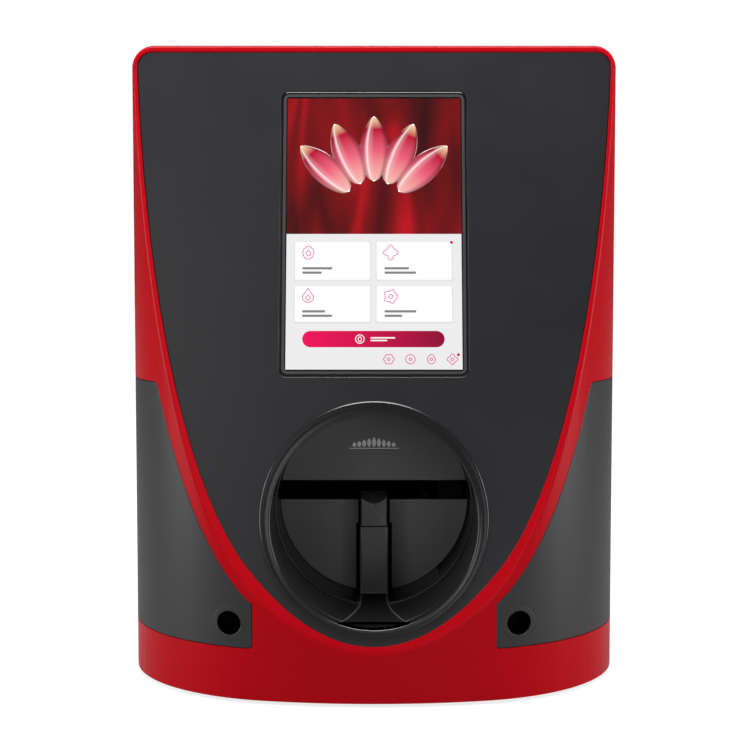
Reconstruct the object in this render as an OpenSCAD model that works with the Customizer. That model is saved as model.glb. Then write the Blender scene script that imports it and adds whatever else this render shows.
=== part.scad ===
// Desktop nail printer: a bow-fronted housing with a leaning touch-screen face, a round finger
// port with a grip bar, and an X-Y print mechanism behind the port's slot.
// X runs to the viewer's right, the face looks along -Y, Z is up, the floor is z = 0.

/* [Body] */
// Width of the housing
body_w = 270; // [256:1:300]
// Depth of the housing from the bow's apex to the flat back
body_d = 240; // [236:1:270]
// Height of the housing from the floor
body_h = 348; // [340:1:380]
// Depth of the curved front, ahead of the widest section
front_depth = 102; // [101:1:112]
// Plan radius between the bow and each flank
corner_r = 98; // [90:1:100]
// Plan radius of the rear corners
rear_corner_r = 60; // [40:1:64]
// Radius of the top edge, seen from the front
top_r = 12; // [8:1:20]
// Wall of the housing
wall = 3; // [2.5:0.1:4]
// Depth of the separate rear shell
rear_shell_d = 50; // [40:1:60]
// Height of the rubber feet below the shell
foot_h = 2; // [1.5:0.5:6]
// Radius of a rubber foot
foot_r = 9; // [6:1:12]
// Thickness of the base plate
base_t = 3; // [2:0.5:5]

/* [Face] */
// Lean of the face from the vertical, degrees
lean = 14.4; // [12:0.2:15]
// Height above the shell's lower edge where the face meets the bow
sill_h = 26.3; // [24:0.5:30]
// Thickness of the shell behind the face
face_wall = 5.5; // [5:0.1:7]
// Thickness of the front panel
panel_t = 2.2; // [1.8:0.1:2.4]
// How far the panel lies below the red margin
panel_sink = 0.4; // [0.2:0.1:0.6]
// Width of the margin beside the panel, in plan
side_margin = 2.5; // [2:0.1:4]
// Width of the margin below the panel, in plan
sill_margin = 0.8; // [0.6:0.1:1.2]
// Height of the margin above the panel
top_margin = 4.7; // [4:0.1:8]
// Gap round parts that are set flush into another
seam = 0.3; // [0.2:0.05:0.4]

/* [Side covers] */
// Height of the plain band below the covers
band_h = 27; // [26:0.5:30]
// Height of the side covers
cover_h = 136.5; // [110:0.5:150]
// Thickness of a side cover
cover_t = 2; // [1.5:0.1:2]
// Half the clear width between the covers at the front
cover_x = 63.2; // [60:0.2:66]
// Lean of the covers' front edge, degrees
cover_lean = 18; // [16:0.5:19]
// Radius of the covers' upper front corner
cover_r = 5; // [3:0.5:8]
// Radius of the covers' lower front corner
cover_low_r = 2.5; // [1.5:0.5:4]
// Sideways place of each accessory socket
socket_x = 75.7; // [74:0.1:80]
// Height of the sockets above the shell's lower edge
socket_h = 39.8; // [38:0.2:46]
// Bore of an accessory socket
socket_d = 12.7; // [10:0.1:13.5]
// Depth of an accessory socket
socket_depth = 18; // [12:1:22]

/* [Screen] */
// Width of the cover glass
glass_w = 101; // [96:0.5:106]
// Length of the cover glass, along the face
glass_l = 158.2; // [150:0.5:166]
// Corner radius of the cover glass
glass_r = 4; // [2:0.5:8]
// Thickness of the cover glass
glass_t = 1.8; // [1.2:0.1:2]
// Distance from the sill up the face to the cover glass
screen_rise = 145.3; // [143:0.5:152]
// Dark border of the glass round the lit area
glass_border = 3.4; // [2:0.2:5]
// Thickness of the display
display_t = 3.2; // [2.8:0.1:4]

/* [Finger port] */
// Height of the port's axis above the floor
port_z = 94.6; // [93:0.2:97]
// Radius of the port's mouth
port_r = 54.4; // [52:0.2:55]
// Outer radius of the port's ring
ring_r = 60; // [59.5:0.2:61]
// How far the ring's outer edge is centred above the port's axis
ring_rise = 1.6; // [0.5:0.1:2]
// How far the ring stands out of the face
ring_proud = 1.2; // [0.6:0.1:2]
// Width of the steps round the ring's outer and inner edge
ring_step = 1; // [0.6:0.1:1.5]
// Wall of the port's barrel
barrel_wall = 2.8; // [2:0.1:3]
// Distance of the plates behind the bow's apex
plate_depth = 99; // [95:1:104]
// Thickness of the plates
plate_t = 2; // [1.5:0.1:3]
// Distance of the barrel's ledge ahead of the plates
ledge_lead = 36; // [30:1:42]
// Depth of the barrel's ledge
ledge_h = 0.9; // [0.6:0.1:1.5]
// Height of the finger slot
slot_h = 11.2; // [10:0.2:13]
// How far the slot's lower edge lies below the port's axis
slot_drop = 0.8; // [0:0.1:2]

/* [Grip bar] */
// Width of the grip bar
bar_w = 14; // [12:0.5:16]
// Radius of the bar's front edges
bar_edge_r = 2.5; // [1:0.5:4]
// Radius of the sweep from the bar into its foot
bar_sweep = 14; // [10:1:16]
// Depth of the bar ahead of the plates
bar_lead = 19; // [15:0.5:22]
// Height of the sprung finger rest's part of the bar
rest_h = 13.2; // [12:0.2:15]
// Travel of the finger rest
rest_travel = 1; // [0.6:0.1:2]
// Half width of the bar's foot at the mouth
flare_w = 16; // [13:0.5:18]
// Thickness of the bar's foot on the barrel's floor
bar_foot_t = 2; // [1.5:0.1:3]

/* [Mechanism] */
// Width over the mechanism's side plates
mech_w = 176; // [172:1:184]
// Room for the motor, boards and door behind the mechanism
rear_room = 24; // [24:0.5:30]
// Height of the mechanism's frame
mech_h = 100; // [98:1:104]
// Thickness of the frame's sheet steel
sheet_t = 2; // [1.5:0.1:2.5]
// Radius of the guide rods
rod_r = 3; // [2.5:0.1:3.5]
// Width of the print carriage
carriage_w = 34; // [32:0.5:36]
// Depth of the print carriage
carriage_d = 60; // [58:0.5:62]
// Travel of the carriage, side to side
travel_x = 86; // [60:1:88]
// Radius of the belt's pulleys
pulley_r = 6; // [5:0.25:6.5]
// Width of the belt
belt_w = 6; // [5:0.5:7]
// Thickness of the belt
belt_t = 1.2; // [0.8:0.1:1.5]
// Width of the driver board under the mechanism
driver_w = 96; // [80:1:110]
// Depth of the driver board
driver_d = 56; // [50:1:60]
// Side of a motor driver's chip
chip = 12; // [10:1:14]
// Radial clearance of shafts and rods in their bores
run_gap = 0.05; // [0.02:0.01:0.08]

/* [Rear] */
// Width of the cartridge door
door_w = 94; // [80:1:100]
// Height of the cartridge door
door_h = 84; // [70:1:90]
// Thickness of the door
door_t = 3; // [2.5:0.1:3.5]
// Height of the door's lower edge above the floor
door_z = 104; // [100:1:112]
// Diameter of the power button
button_d = 16; // [12:1:20]
// Travel of the power button
button_travel = 2; // [1:0.5:3]
// Side of the square cooling fan
fan_side = 40; // [30:5:40]
// Depth of the fan's frame
fan_t = 10; // [9:0.5:12]
// Width of the main board
board_w = 80; // [72:1:84]
// Distance of the main board from the back wall
board_gap = 8; // [6:0.5:10]
// Height of the main board's lower edge above the door
board_rise = 16; // [14:0.5:20]

/* [Hidden] */
$fn = 96;

// Colours
red = [0.71, 0.04, 0.08];
charcoal = [0.20, 0.205, 0.215];
black = [0.07, 0.07, 0.075];
steel = [0.72, 0.73, 0.75];
board = [0.05, 0.28, 0.16];

// Plan of the housing
front_y = -body_d / 2;
rear_y = body_d / 2;
wide_y = front_y + front_depth;
corner_x = body_w / 2 - corner_r;
split_y = rear_y - rear_shell_d;
sill_z = foot_h + sill_h;
// Places on the face and behind it
pocket_depth = panel_sink + panel_t + 0.1;
plate_y = front_y + plate_depth;
slot_z = port_z - slot_drop;
barrel_r = port_r - ledge_h;
barrel_out_r = port_r + barrel_wall;
screen_mid = screen_rise + glass_l / 2;
cover_z = foot_h + band_h;
socket_z = foot_h + socket_h;
// Mechanism
base_z = foot_h + base_t;
mech_y = plate_y + plate_t + 3;
mech_rear = rear_y - rear_room;
mech_d = mech_rear - mech_y;
mech_mid = mech_y + mech_d / 2;
mech_z = slot_z - 15.8;
mech_top = mech_z + mech_h;
end_in = mech_w / 2 - sheet_t;
block_w = 16;
block_x = end_in - 0.5 - block_w;
// The gantry rests at the rear of its run; the rest of the depth is its travel
gantry_y = mech_rear - 12 - carriage_d / 2;
carriage_x = block_x - 2 - carriage_w / 2;
carriage_z = slot_z + slot_h + 7;
carriage_h = 53;
rod_lead = carriage_d / 2 - 5;
x_rod_z = carriage_z + 38;
y_rod_x = block_x + 9;
y_rod_z = carriage_z + 12;
screw_z = y_rod_z + 12;
block_z = carriage_z + 2;
block_top = carriage_z + 56;
pulley_x = block_x + 6;
pulley_y = gantry_y + 22;
pulley_z = block_top + 3;
motor_side = 28;
head_lead = 6;
head_z = carriage_z - 1.4;

// Height above the floor -> depth of the leaning face there
function face_y(z) = front_y + (z - sill_z) * tan(lean);
// Plan radius of the bow that joins two flank arcs of radius r at a depth d
function bow_r(r, d) = (corner_x * corner_x + d * d - r * r) / (2 * (d - r));

// Plan of the housing, set in from its outside; the bow may be set in by less
module plan(inset = 0, front_inset = -1) {
  r = corner_r - inset;
  d = front_depth - (front_inset < 0 ? inset : front_inset);
  br = bow_r(r, d);
  reach = 3;
  intersection() {
    translate([0, wide_y - d + br]) circle(r = br);
    polygon([
      [-corner_x, wide_y], [corner_x, wide_y],
      [corner_x * reach, wide_y - (br - d) * (reach - 1)],
      [-corner_x * reach, wide_y - (br - d) * (reach - 1)]
    ]);
  }
  rear_r = rear_corner_r - inset;
  rear_x = body_w / 2 - rear_corner_r;
  for (s = [-1, 1]) {
    translate([s * corner_x, wide_y]) circle(r = r);
    translate([s * rear_x, rear_y - rear_corner_r]) circle(r = rear_r);
  }
  translate([-body_w / 2 + inset, wide_y])
    square([body_w - 2 * inset, rear_y - rear_corner_r - wide_y]);
  translate([-rear_x, wide_y]) square([2 * rear_x, rear_y - inset - wide_y]);
}

// Plan raised into a body whose top edges are rounded, seen from the front
module form(z0, inset = 0, front_inset = -1, drop = 0) {
  r = max(top_r - inset, 2);
  top = body_h - drop;
  half = body_w / 2 - inset;
  intersection() {
    translate([0, 0, z0]) linear_extrude(top - z0) plan(inset, front_inset);
    along_y(front_y - 1, rear_y + 1) difference() {
      translate([-half - 1, z0 - 1]) square([2 * half + 2, top - z0 + 2]);
      for (s = [-1, 1]) difference() {
        translate([s * (half - r / 2 + 1) - r / 2 - 1, top - r]) square([r + 2, r + 2]);
        translate([s * (half - r), top - r]) circle(r = r + 0.04);
      }
    }
  }
}

// Children drawn in x and z, drawn out from y0 to y1
module along_y(y0, y1) {
  translate([0, y1, 0]) rotate([90, 0, 0]) linear_extrude(y1 - y0) children();
}

// Children drawn in y and z, drawn out from x0 to x1
module along_x(x0, x1) {
  translate([x0, 0, 0]) rotate([90, 0, 90]) linear_extrude(x1 - x0) children();
}

// Children placed on the face: x across, y up the face from the sill, z outwards
module on_face(v = 0, out = 0) {
  translate([0, front_y, sill_z]) rotate([90 - lean, 0, 0]) translate([0, v, out]) children();
}

// Everything that lies more than a depth behind the face
module behind_face(depth) {
  on_face(0, -depth - 500) translate([-300, -300, 0]) cube([600, 1000, 500]);
}

// Slab that follows the face between two depths
module face_slab(near, far) {
  on_face(0, -far) translate([-300, -300, 0]) cube([600, 1000, far - near]);
}

// Rod along Y
module rod_y(x, z, r, y0, y1) {
  translate([x, y1, z]) rotate([90, 0, 0]) cylinder(r = r, h = y1 - y0);
}

// Rod along X
module rod_x(y, z, r, x0, x1) {
  translate([x0, y, z]) rotate([0, 90, 0]) cylinder(r = r, h = x1 - x0);
}

module rounded(w, h, r) {
  square([w - 2 * r, h], center = true);
  square([w, h - 2 * r], center = true);
  for (x = [-1, 1], y = [-1, 1])
    translate([x * (w / 2 - r), y * (h / 2 - r)]) circle(r = r);
}

// Box given by its middle in x and y, its foot in z and its size
module block(mid, size) {
  translate([mid[0] - size[0] / 2, mid[1] - size[1] / 2, mid[2]]) cube(size);
}

// Coil spring as one unbroken tube round Z: rings of wire carried up a helix
module coil(r, wire_r, h, turns) {
  sides = 6;
  rings = turns * 8;
  points = [
    for (i = [0:rings], k = [0:sides - 1])
      let (a = i * 45, b = k * 360 / sides, q = r + wire_r * cos(b))
        [q * cos(a), q * sin(a), wire_r + (h - 2 * wire_r) * i / rings + wire_r * sin(b)]
  ];
  faces = concat(
    [[for (k = [0:sides - 1]) k]],
    [for (i = [0:rings - 1], k = [0:sides - 1])
      let (n = (k + 1) % sides) [i * sides + k, (i + 1) * sides + k, i * sides + n]],
    [for (i = [0:rings - 1], k = [0:sides - 1])
      let (n = (k + 1) % sides) [i * sides + n, (i + 1) * sides + k, (i + 1) * sides + n]],
    [[for (k = [sides - 1:-1:0]) rings * sides + k]]
  );
  echo(spring_gap = (h - 2 * wire_r) / turns - 2 * wire_r);
  polyhedron(points, faces);
}

// ---- Housing ----

// Region of one side cover on the right flank, set in all round by a gap
module cover_zone(gap) {
  x0 = cover_x + gap;
  z0 = cover_z + gap;
  z1 = cover_z + cover_h - gap;
  y1 = split_y - gap;
  r = cover_r - gap;
  low_r = cover_low_r - gap;
  function edge_y(z) = front_y + gap / cos(cover_lean) + (z - cover_z) * tan(cover_lean);
  // Centre of the arc that touches the leaning edge and the top edge
  mid = [edge_y(z1) + r * (1 - sin(cover_lean)) / cos(cover_lean), z1 - r];
  intersection() {
    along_x(x0 - 1, body_w) {
      polygon([
        [edge_y(z0 - 1), z0 - 1], [y1, z0 - 1], [y1, z1], [mid[0], z1],
        [mid[0] - r * cos(cover_lean), mid[1] + r * sin(cover_lean)]
      ]);
      translate(mid) circle(r = r);
    }
    along_y(front_y - 1, split_y + 1) {
      translate([x0 + low_r, z0]) square([body_w, cover_h + 1]);
      translate([x0, z0 + low_r]) square([body_w, cover_h + 1]);
      translate([x0 + low_r, z0 + low_r]) circle(r = low_r);
    }
  }
}

socket_out_r = socket_d / 2 + 2;

module main_shell() {
  window_w = glass_w + 2;
  window_l = glass_l + 2;
  color(red) difference() {
    intersection() {
      form(foot_h);
      behind_face(0);
      translate([-body_w, -body_d, 0]) cube([2 * body_w, body_d + split_y, 2 * body_h]);
    }
    intersection() {
      form(foot_h - 1, wall, -1, wall);
      behind_face(face_wall);
    }
    intersection() {
      form(foot_h, side_margin - seam, sill_margin - seam, top_margin - seam);
      face_slab(-1, pocket_depth);
    }
    on_face(screen_mid, -face_wall - 1) linear_extrude(face_wall + 2)
      rounded(window_w, window_l, glass_r);
    rod_y(0, port_z, barrel_out_r + seam, front_y - 1, front_y + 60);
    for (side = [0, 1]) mirror([side, 0, 0]) {
      difference() {
        cover_zone(0);
        linear_extrude(body_h) plan(cover_t + 0.1);
      }
      // Square cut-out for the socket's sleeve, out of sight under the cover
      along_y(front_y - 1, wide_y) translate([socket_x, socket_z])
        square(2 * socket_out_r + 0.4, center = true);
    }
  }
}

module side_cover() {
  color(charcoal) difference() {
    intersection() {
      cover_zone(seam);
      linear_extrude(body_h) plan();
    }
    linear_extrude(body_h) plan(cover_t);
    rod_y(socket_x, socket_z, socket_out_r + 0.1, front_y - 1, wide_y);
  }
}

module left_side_cover() { mirror([1, 0, 0]) side_cover(); }
module right_side_cover() { side_cover(); }

// Blind sleeve behind the round hole at the foot of each cover
module socket() {
  mouth_y = wide_y - sqrt(pow(corner_r, 2) - pow(socket_x - corner_x, 2));
  color(black) difference() {
    intersection() {
      rod_y(socket_x, socket_z, socket_out_r, front_y, mouth_y + socket_depth + 2);
      linear_extrude(body_h) plan(0.3);
    }
    rod_y(socket_x, socket_z, socket_d / 2, front_y - 1, mouth_y + socket_depth);
  }
}

module left_socket() { mirror([1, 0, 0]) socket(); }
module right_socket() { socket(); }

// Places of the screws that hold the rear shell
screw_rows = [foot_h + 32, door_z + door_h + 18, body_h - 24];
screw_places = [for (x = [-1, 1], z = screw_rows) [x * (door_w / 2 + 19), z]];

module rear_shell() {
  lip = 6;
  recess = 6;
  floor_y = rear_y - recess - 2.5;
  color(charcoal) difference() {
    union() {
      difference() {
        union() {
          difference() {
            form(foot_h);
            form(foot_h - 1, wall, -1, wall);
          }
          difference() {
            form(base_z + seam, wall + 0.2, -1, wall + 0.2);
            form(base_z, wall + 1.8, -1, wall + 1.8);
            translate([-body_w, split_y + 0.01, 0]) cube([2 * body_w, body_d, body_h]);
          }
          difference() {
            form(base_z + seam, wall - 0.5, -1, wall - 0.5);
            form(base_z, wall + 1.8, -1, wall + 1.8);
            translate([-body_w, -body_d, 0]) cube([2 * body_w, body_d + split_y, body_h]);
            translate([-body_w, split_y + 3, 0]) cube([2 * body_w, body_d, body_h]);
          }
        }
        difference() {
          translate([-body_w, -body_d, 0]) cube([2 * body_w, body_d + split_y, body_h]);
          form(base_z, wall + 0.1, -1, wall + 0.1);
        }
        translate([-body_w, -body_d, -1])
          cube([2 * body_w, body_d + split_y - lip, body_h + 2]);
      }
      // Tray round the door
      block([0, floor_y + (recess + 2.5) / 2 - 0.5, door_z - 7],
        [door_w + 16, recess + 1.5, door_h + 14]);
      // Screw bosses
      for (p = screw_places) rod_y(p[0], p[1], 4.5, rear_y - 14, rear_y - 1);
    }
    // Door recess and the opening under the door
    block([0, rear_y - recess / 2 + 0.5, door_z - 4.5], [door_w + 11, recess + 1, door_h + 9]);
    block([0, rear_y - 5, door_z + 6], [door_w - 12, 20, door_h - 12]);
    rear_holes();
  }
  // Lugs that hold the hinge pins
  color(charcoal) for (z = [door_z - 4.5, door_z + door_h + 0.3]) difference() {
    block([hinge_x, rear_y - recess / 2 - 0.3, z], [5.6, recess - 0.6, 4.2]);
    translate([hinge_x, hinge_y, z - 1]) cylinder(r = pin_r, h = 7);
  }
}

// Rear features
pin_r = 1.5;
hinge_x = -door_w / 2 - 2;
hinge_y = rear_y - 3.2;
fan_x = -50;
fan_z = body_h - 78;
button_x = -40;
ports_z = foot_h + 28;
inlet_x = 42;
usb_x = 18;
speaker_x = 48;
speaker_z = foot_h + 66;
speaker_r = 15;

module rear_holes() {
  for (p = screw_places) {
    rod_y(p[0], p[1], 1.6, rear_y - 20, rear_y + 1);
    rod_y(p[0], p[1], 3.4, rear_y - 2.2, rear_y + 1);
  }
  // Fan grille: upright slots within a circle
  along_y(rear_y - wall - 1, rear_y + 1) intersection() {
    translate([fan_x, fan_z]) circle(r = fan_side / 2 - 2);
    for (i = [-4:4]) translate([fan_x + i * 4 - 1, fan_z - 30]) square([2, 60]);
  }
  // Speaker grilles: rows of slots
  along_y(rear_y - wall - 1, rear_y + 1) for (s = [-1, 1]) intersection() {
    translate([s * speaker_x, speaker_z]) circle(r = speaker_r - 3);
    for (i = [-2:2]) translate([s * speaker_x - 20, speaker_z + i * 5 - 1]) square([40, 2]);
  }
  // Cooling slots across the top
  for (i = [0:3]) along_y(rear_y - wall - 1, rear_y + 1)
    translate([0, body_h - 26 - i * 7]) rounded(60, 2.6, 1.2);
  rod_y(button_x, ports_z, button_d / 2 + seam, rear_y - 10, rear_y + 1);
  rod_y(inlet_x, ports_z, 4.4, rear_y - 10, rear_y + 1);
  along_y(rear_y - 10, rear_y + 1) translate([usb_x, ports_z]) square([13.4, 6.2], center = true);
}

module base_plate() {
  post_r = 5;
  color(black) {
    difference() {
      translate([0, 0, foot_h]) linear_extrude(base_t) plan(wall + seam);
      for (p = foot_places) translate([p[0], p[1], foot_h - 1]) cylinder(r = 3.1, h = base_t + 2);
      for (i = [-4:4]) block([i * 9, mech_mid, foot_h - 1], [3, 60, base_t + 2]);
    }
    for (x = [-1, 1], y = [mech_y + 8, mech_rear - 8])
      translate([x * (end_in - 1), y, base_z - 0.5]) cylinder(r = post_r, h = mech_z - base_z + 0.5);
    for (x = [-1, 1]) along_x(x * 62 - 1, x * 62 + 1)
      translate([mech_y, base_z - 0.5]) square([mech_d - 20, 6.5]);
  }
}

foot_places = [
  for (s = [-1, 1])
    for (p = [[body_w / 2 - 57, wide_y - 48], [body_w / 2 - 37, rear_y - rear_corner_r + 2]])
      [s * p[0], p[1]]
];

module feet() {
  color(black) for (p = foot_places) translate([p[0], p[1], 0]) {
    cylinder(r1 = foot_r - 0.6, r2 = foot_r, h = foot_h);
    cylinder(r = 3, h = foot_h + base_t);
  }
}

module shell_screws() {
  color(steel) for (p = screw_places) {
    rod_y(p[0], p[1], 1.5, rear_y - 13, rear_y - 2);
    rod_y(p[0], p[1], 3.1, rear_y - 2.2, rear_y - 0.4);
  }
}

// ---- Face ----

module front_panel() {
  color(charcoal) difference() {
    intersection() {
      form(foot_h, side_margin, sill_margin, top_margin);
      face_slab(panel_sink, panel_sink + panel_t);
    }
    on_face(screen_mid, -20) linear_extrude(30)
      rounded(glass_w + 2 * seam, glass_l + 2 * seam, glass_r + seam);
    rod_y(0, port_z, barrel_out_r + seam, front_y - 1, front_y + 60);
  }
}

module touch_glass() {
  color(black) on_face(screen_mid, -panel_sink - 0.1 - glass_t)
    linear_extrude(glass_t) rounded(glass_w, glass_l, glass_r);
}

module display_module() {
  color([0.3, 0.3, 0.33])
    on_face(screen_mid, -panel_sink - 0.1 - glass_t - display_t) linear_extrude(display_t)
      rounded(glass_w - 2, glass_l - 2, glass_r - 1);
}

module screen_frame() {
  depth = 5;
  rim = 6;
  back = panel_sink + 0.1 + glass_t + display_t;
  color(black) on_face(screen_mid, -face_wall - depth) difference() {
    linear_extrude(depth) rounded(glass_w + 2 * rim, glass_l + 2 * rim, glass_r);
    translate([0, 0, depth + face_wall - back]) linear_extrude(depth)
      rounded(glass_w - 2 + 2 * seam, glass_l - 2 + 2 * seam, glass_r - 1 + seam);
    translate([0, 0, -1]) linear_extrude(depth + 2)
      rounded(glass_w - 14, glass_l - 14, glass_r);
  }
}

// ---- Finger port ----

module port_ring() {
  boss_depth = 8;
  color(black) difference() {
    union() {
      for (step = [0, 1]) intersection() {
        rod_y(0, port_z + ring_rise, ring_r - step * ring_step, front_y - 20, front_y + 60);
        face_slab(-ring_proud * (1 + step) / 2, panel_sink);
      }
      intersection() {
        rod_y(0, port_z, barrel_out_r, front_y - 20, front_y + 60);
        face_slab(0, boss_depth);
      }
    }
    rod_y(0, port_z, port_r, front_y - 30, front_y + 70);
    // Step down to the mouth
    intersection() {
      rod_y(0, port_z, port_r + ring_step, front_y - 20, front_y + 60);
      face_slab(-ring_proud - 1, -ring_proud / 2);
    }
  }
}

// Barrel with its ledge, a lip for the plates and a flange on the mechanism's frame
module port_liner() {
  lip = 3;
  rear = mech_y;
  color(black) difference() {
    union() {
      intersection() {
        rod_y(0, port_z, barrel_out_r, front_y, rear);
        behind_face(8.2);
      }
      along_y(rear - 3, rear)
        translate([-end_in, mech_z]) square([2 * end_in, port_z + barrel_out_r - mech_z + 3]);
    }
    rod_y(0, port_z, port_r, front_y - 1, plate_y - ledge_lead);
    rod_y(0, port_z, barrel_r, front_y - 1, plate_y + plate_t);
    rod_y(0, port_z, barrel_r - lip, front_y - 1, rear + 1);
  }
}

// Disc behind the mouth, cut by a band of height
module plate_part(z0, z1) {
  intersection() {
    rod_y(0, port_z, barrel_r - seam, plate_y, plate_y + plate_t);
    translate([-port_r, plate_y - 1, z0]) cube([2 * port_r, plate_t + 2, z1 - z0]);
  }
}

module port_upper_plate() {
  color(charcoal) plate_part(slot_z + slot_h, port_z + port_r);
}

module port_lower_plate() {
  notch = bar_w / 2 + 3.2;
  color(charcoal) difference() {
    plate_part(port_z - port_r, slot_z);
    translate([-notch, plate_y - 1, port_z - port_r - 1])
      cube([2 * notch, plate_t + 2, slot_z - rest_h - port_z + port_r + 1]);
    translate([-notch + 1.2, plate_y - 1, port_z - port_r - 1])
      cube([2 * notch - 2.4, plate_t + 2, port_r * 2]);
  }
}

bar_y = plate_y - bar_lead;
bar_top = slot_z - rest_h;
bar_bore_r = bar_w / 2 - 2.5;
rest_gap = 0.2;

// Section of the bar: rounded edges in front, at y0
module bar_section(half, y0, y1) {
  translate([-half, y0 + bar_edge_r]) square([2 * half, y1 - y0 - bar_edge_r]);
  translate([bar_edge_r - half, y0]) square([2 * (half - bar_edge_r), bar_edge_r + 1]);
  for (s = [-1, 1]) translate([s * (half - bar_edge_r), y0 + bar_edge_r]) circle(r = bar_edge_r);
}

// Grip bar on the barrel's floor, with a foot that sweeps out to the mouth
module finger_handle() {
  inner_r = barrel_r - 0.2;
  foot_top = port_z - inner_r + bar_foot_t;
  color(charcoal) difference() {
    union() {
      intersection() {
        union() {
          linear_extrude(bar_top) bar_section(bar_w / 2, bar_y, plate_y + plate_t);
          // The bar's section carried round a quarter turn into the foot
          translate([0, bar_y - bar_sweep, foot_top + bar_sweep]) rotate([0, 90, 0])
            rotate_extrude(angle = 90) rotate(-90)
            bar_section(bar_w / 2, bar_sweep, bar_sweep * 1.5);
        }
        rod_y(0, port_z, inner_r, front_y, plate_y + plate_t);
      }
      intersection() {
        difference() {
          rod_y(0, port_z, inner_r, front_y, plate_y - 2);
          rod_y(0, port_z, inner_r - bar_foot_t, front_y - 1, plate_y);
        }
        linear_extrude(port_z) foot_plan();
        behind_face(9);
      }
    }
    // Well for the finger rest's stem and spring
    translate([0, bar_y + bar_lead / 2, bar_top - 22]) cylinder(r = bar_bore_r, h = 30);
  }
}

// Foot of the bar in plan: straight under the bar, then flaring forwards on an arc
module foot_plan() {
  flare_l = 62;
  r = (flare_l * flare_l + pow(flare_w - bar_w / 2, 2)) / (2 * (flare_w - bar_w / 2));
  difference() {
    translate([-flare_w - 2, bar_y - flare_l]) square([2 * flare_w + 4, flare_l + bar_lead]);
    for (s = [-1, 1]) {
      translate([s * (bar_w / 2 + r), bar_y]) circle(r = r, $fn = 192);
      translate([s * (bar_w / 2 + r) - r, bar_y]) square([2 * r, 40]);
    }
  }
}

// Sprung saddle that carries the fingertip, on a stem in the bar
module finger_rest() {
  saddle_r = 9;
  back = 24;
  tongue_t = 6;
  color(charcoal) difference() {
    union() {
      translate([0, 0, bar_top + rest_travel + rest_gap])
        linear_extrude(rest_h - rest_travel - rest_gap)
        bar_section(bar_w / 2 - 0.2, bar_y, plate_y + plate_t);
      translate([0, 0, slot_z - tongue_t]) linear_extrude(tongue_t)
        bar_section(bar_w / 2 - 0.2, bar_y, plate_y + plate_t + 2);
      translate([-bar_w / 2 - 0.6, plate_y + plate_t + 0.6, slot_z - tongue_t])
        cube([bar_w + 1.2, back - 0.6, tongue_t + 1.5]);
      translate([0, bar_y + bar_lead / 2, bar_top - 8])
        cylinder(r = bar_bore_r - run_gap, h = 8 + rest_travel + 1);
    }
    rod_y(0, slot_z + saddle_r - 2.6, saddle_r, bar_y - 1, plate_y + plate_t + back - 3);
  }
}

module finger_rest_spring() {
  color(steel) translate([0, bar_y + bar_lead / 2, bar_top - 22])
    coil(bar_bore_r - 1.1, 0.5, 13.9, 7);
}

// ---- Print mechanism ----

module mech_tray() {
  color(black) difference() {
    block([0, mech_mid, mech_z], [2 * end_in - 0.4, mech_d - 2 * sheet_t - 0.4, 6]);
    block([0, mech_mid, mech_z + 2], [2 * end_in - 4, mech_d - 2 * sheet_t - 4, 10]);
  }
}

module mech_frame() {
  ear = 18;
  rear = mech_rear;
  color(steel) difference() {
    translate([-mech_w / 2, mech_y, mech_z]) cube([mech_w, mech_d, mech_h]);
    translate([-end_in, mech_y + sheet_t, mech_z - 1])
      cube([2 * end_in, mech_d - 2 * sheet_t, mech_h + 2]);
    // Open front between the ears, and a window for the cartridge behind
    translate([-mech_w / 2 + ear, mech_y - 1, mech_z - 1])
      cube([mech_w - 2 * ear, sheet_t + 2, mech_h + 2]);
    translate([-door_w / 2 + 4, rear - sheet_t - 1, mech_z + 22])
      cube([door_w - 8, sheet_t + 2, mech_h]);
    for (s = [-1, 1]) rod_y(s * y_rod_x, y_rod_z, rod_r + run_gap, mech_y - 1, rear + 1);
    rod_y(-y_rod_x, screw_z, rod_r + run_gap, mech_y - 1, rear + 1);
  }
}

module y_guide_rods() {
  color(steel) for (s = [-1, 1]) rod_y(s * y_rod_x, y_rod_z, rod_r, mech_y, mech_rear);
}

// Stepping motor in section: square end plates and a laminated middle with clipped corners
module motor_plates(side, length) {
  cap = length / 4;
  for (z = [0, length - cap]) translate([0, 0, z]) linear_extrude(cap) rounded(side, side, 3);
  translate([0, 0, cap - 0.5]) linear_extrude(length - 2 * cap + 1) intersection() {
    square(side - 1, center = true);
    rotate(45) square(side * 1.24, center = true);
  }
  translate([-5, side / 2 - 2, length - cap - 6]) cube([10, 6, 6]);
}

module y_motor() {
  length = 16;
  color([0.25, 0.25, 0.27]) difference() {
    translate([-y_rod_x, mech_rear, screw_z]) rotate([-90, 0, 0]) motor_plates(motor_side, length);
    rod_y(-y_rod_x, screw_z, rod_r + run_gap, mech_rear - 1, mech_rear + 10);
  }
}

module y_lead_screw() {
  color(steel) rod_y(-y_rod_x, screw_z, rod_r, mech_y + 0.2, mech_rear + 9.5);
}

// End block of the gantry, on the right; the X rods end in it
module gantry_block() {
  difference() {
    block([block_x + block_w / 2, gantry_y, block_z],
      [block_w, carriage_d, block_top - block_z]);
    rod_y(y_rod_x, y_rod_z, rod_r + run_gap, gantry_y - 60, gantry_y + 60);
    for (s = [-1, 1])
      rod_x(gantry_y + s * rod_lead, x_rod_z, rod_r + run_gap, block_x - 1, block_x + 12);
    // Weight-saving pocket on the inner side
    block([block_x + 2, gantry_y, x_rod_z - 12], [6, 26, 20]);
  }
}

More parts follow.
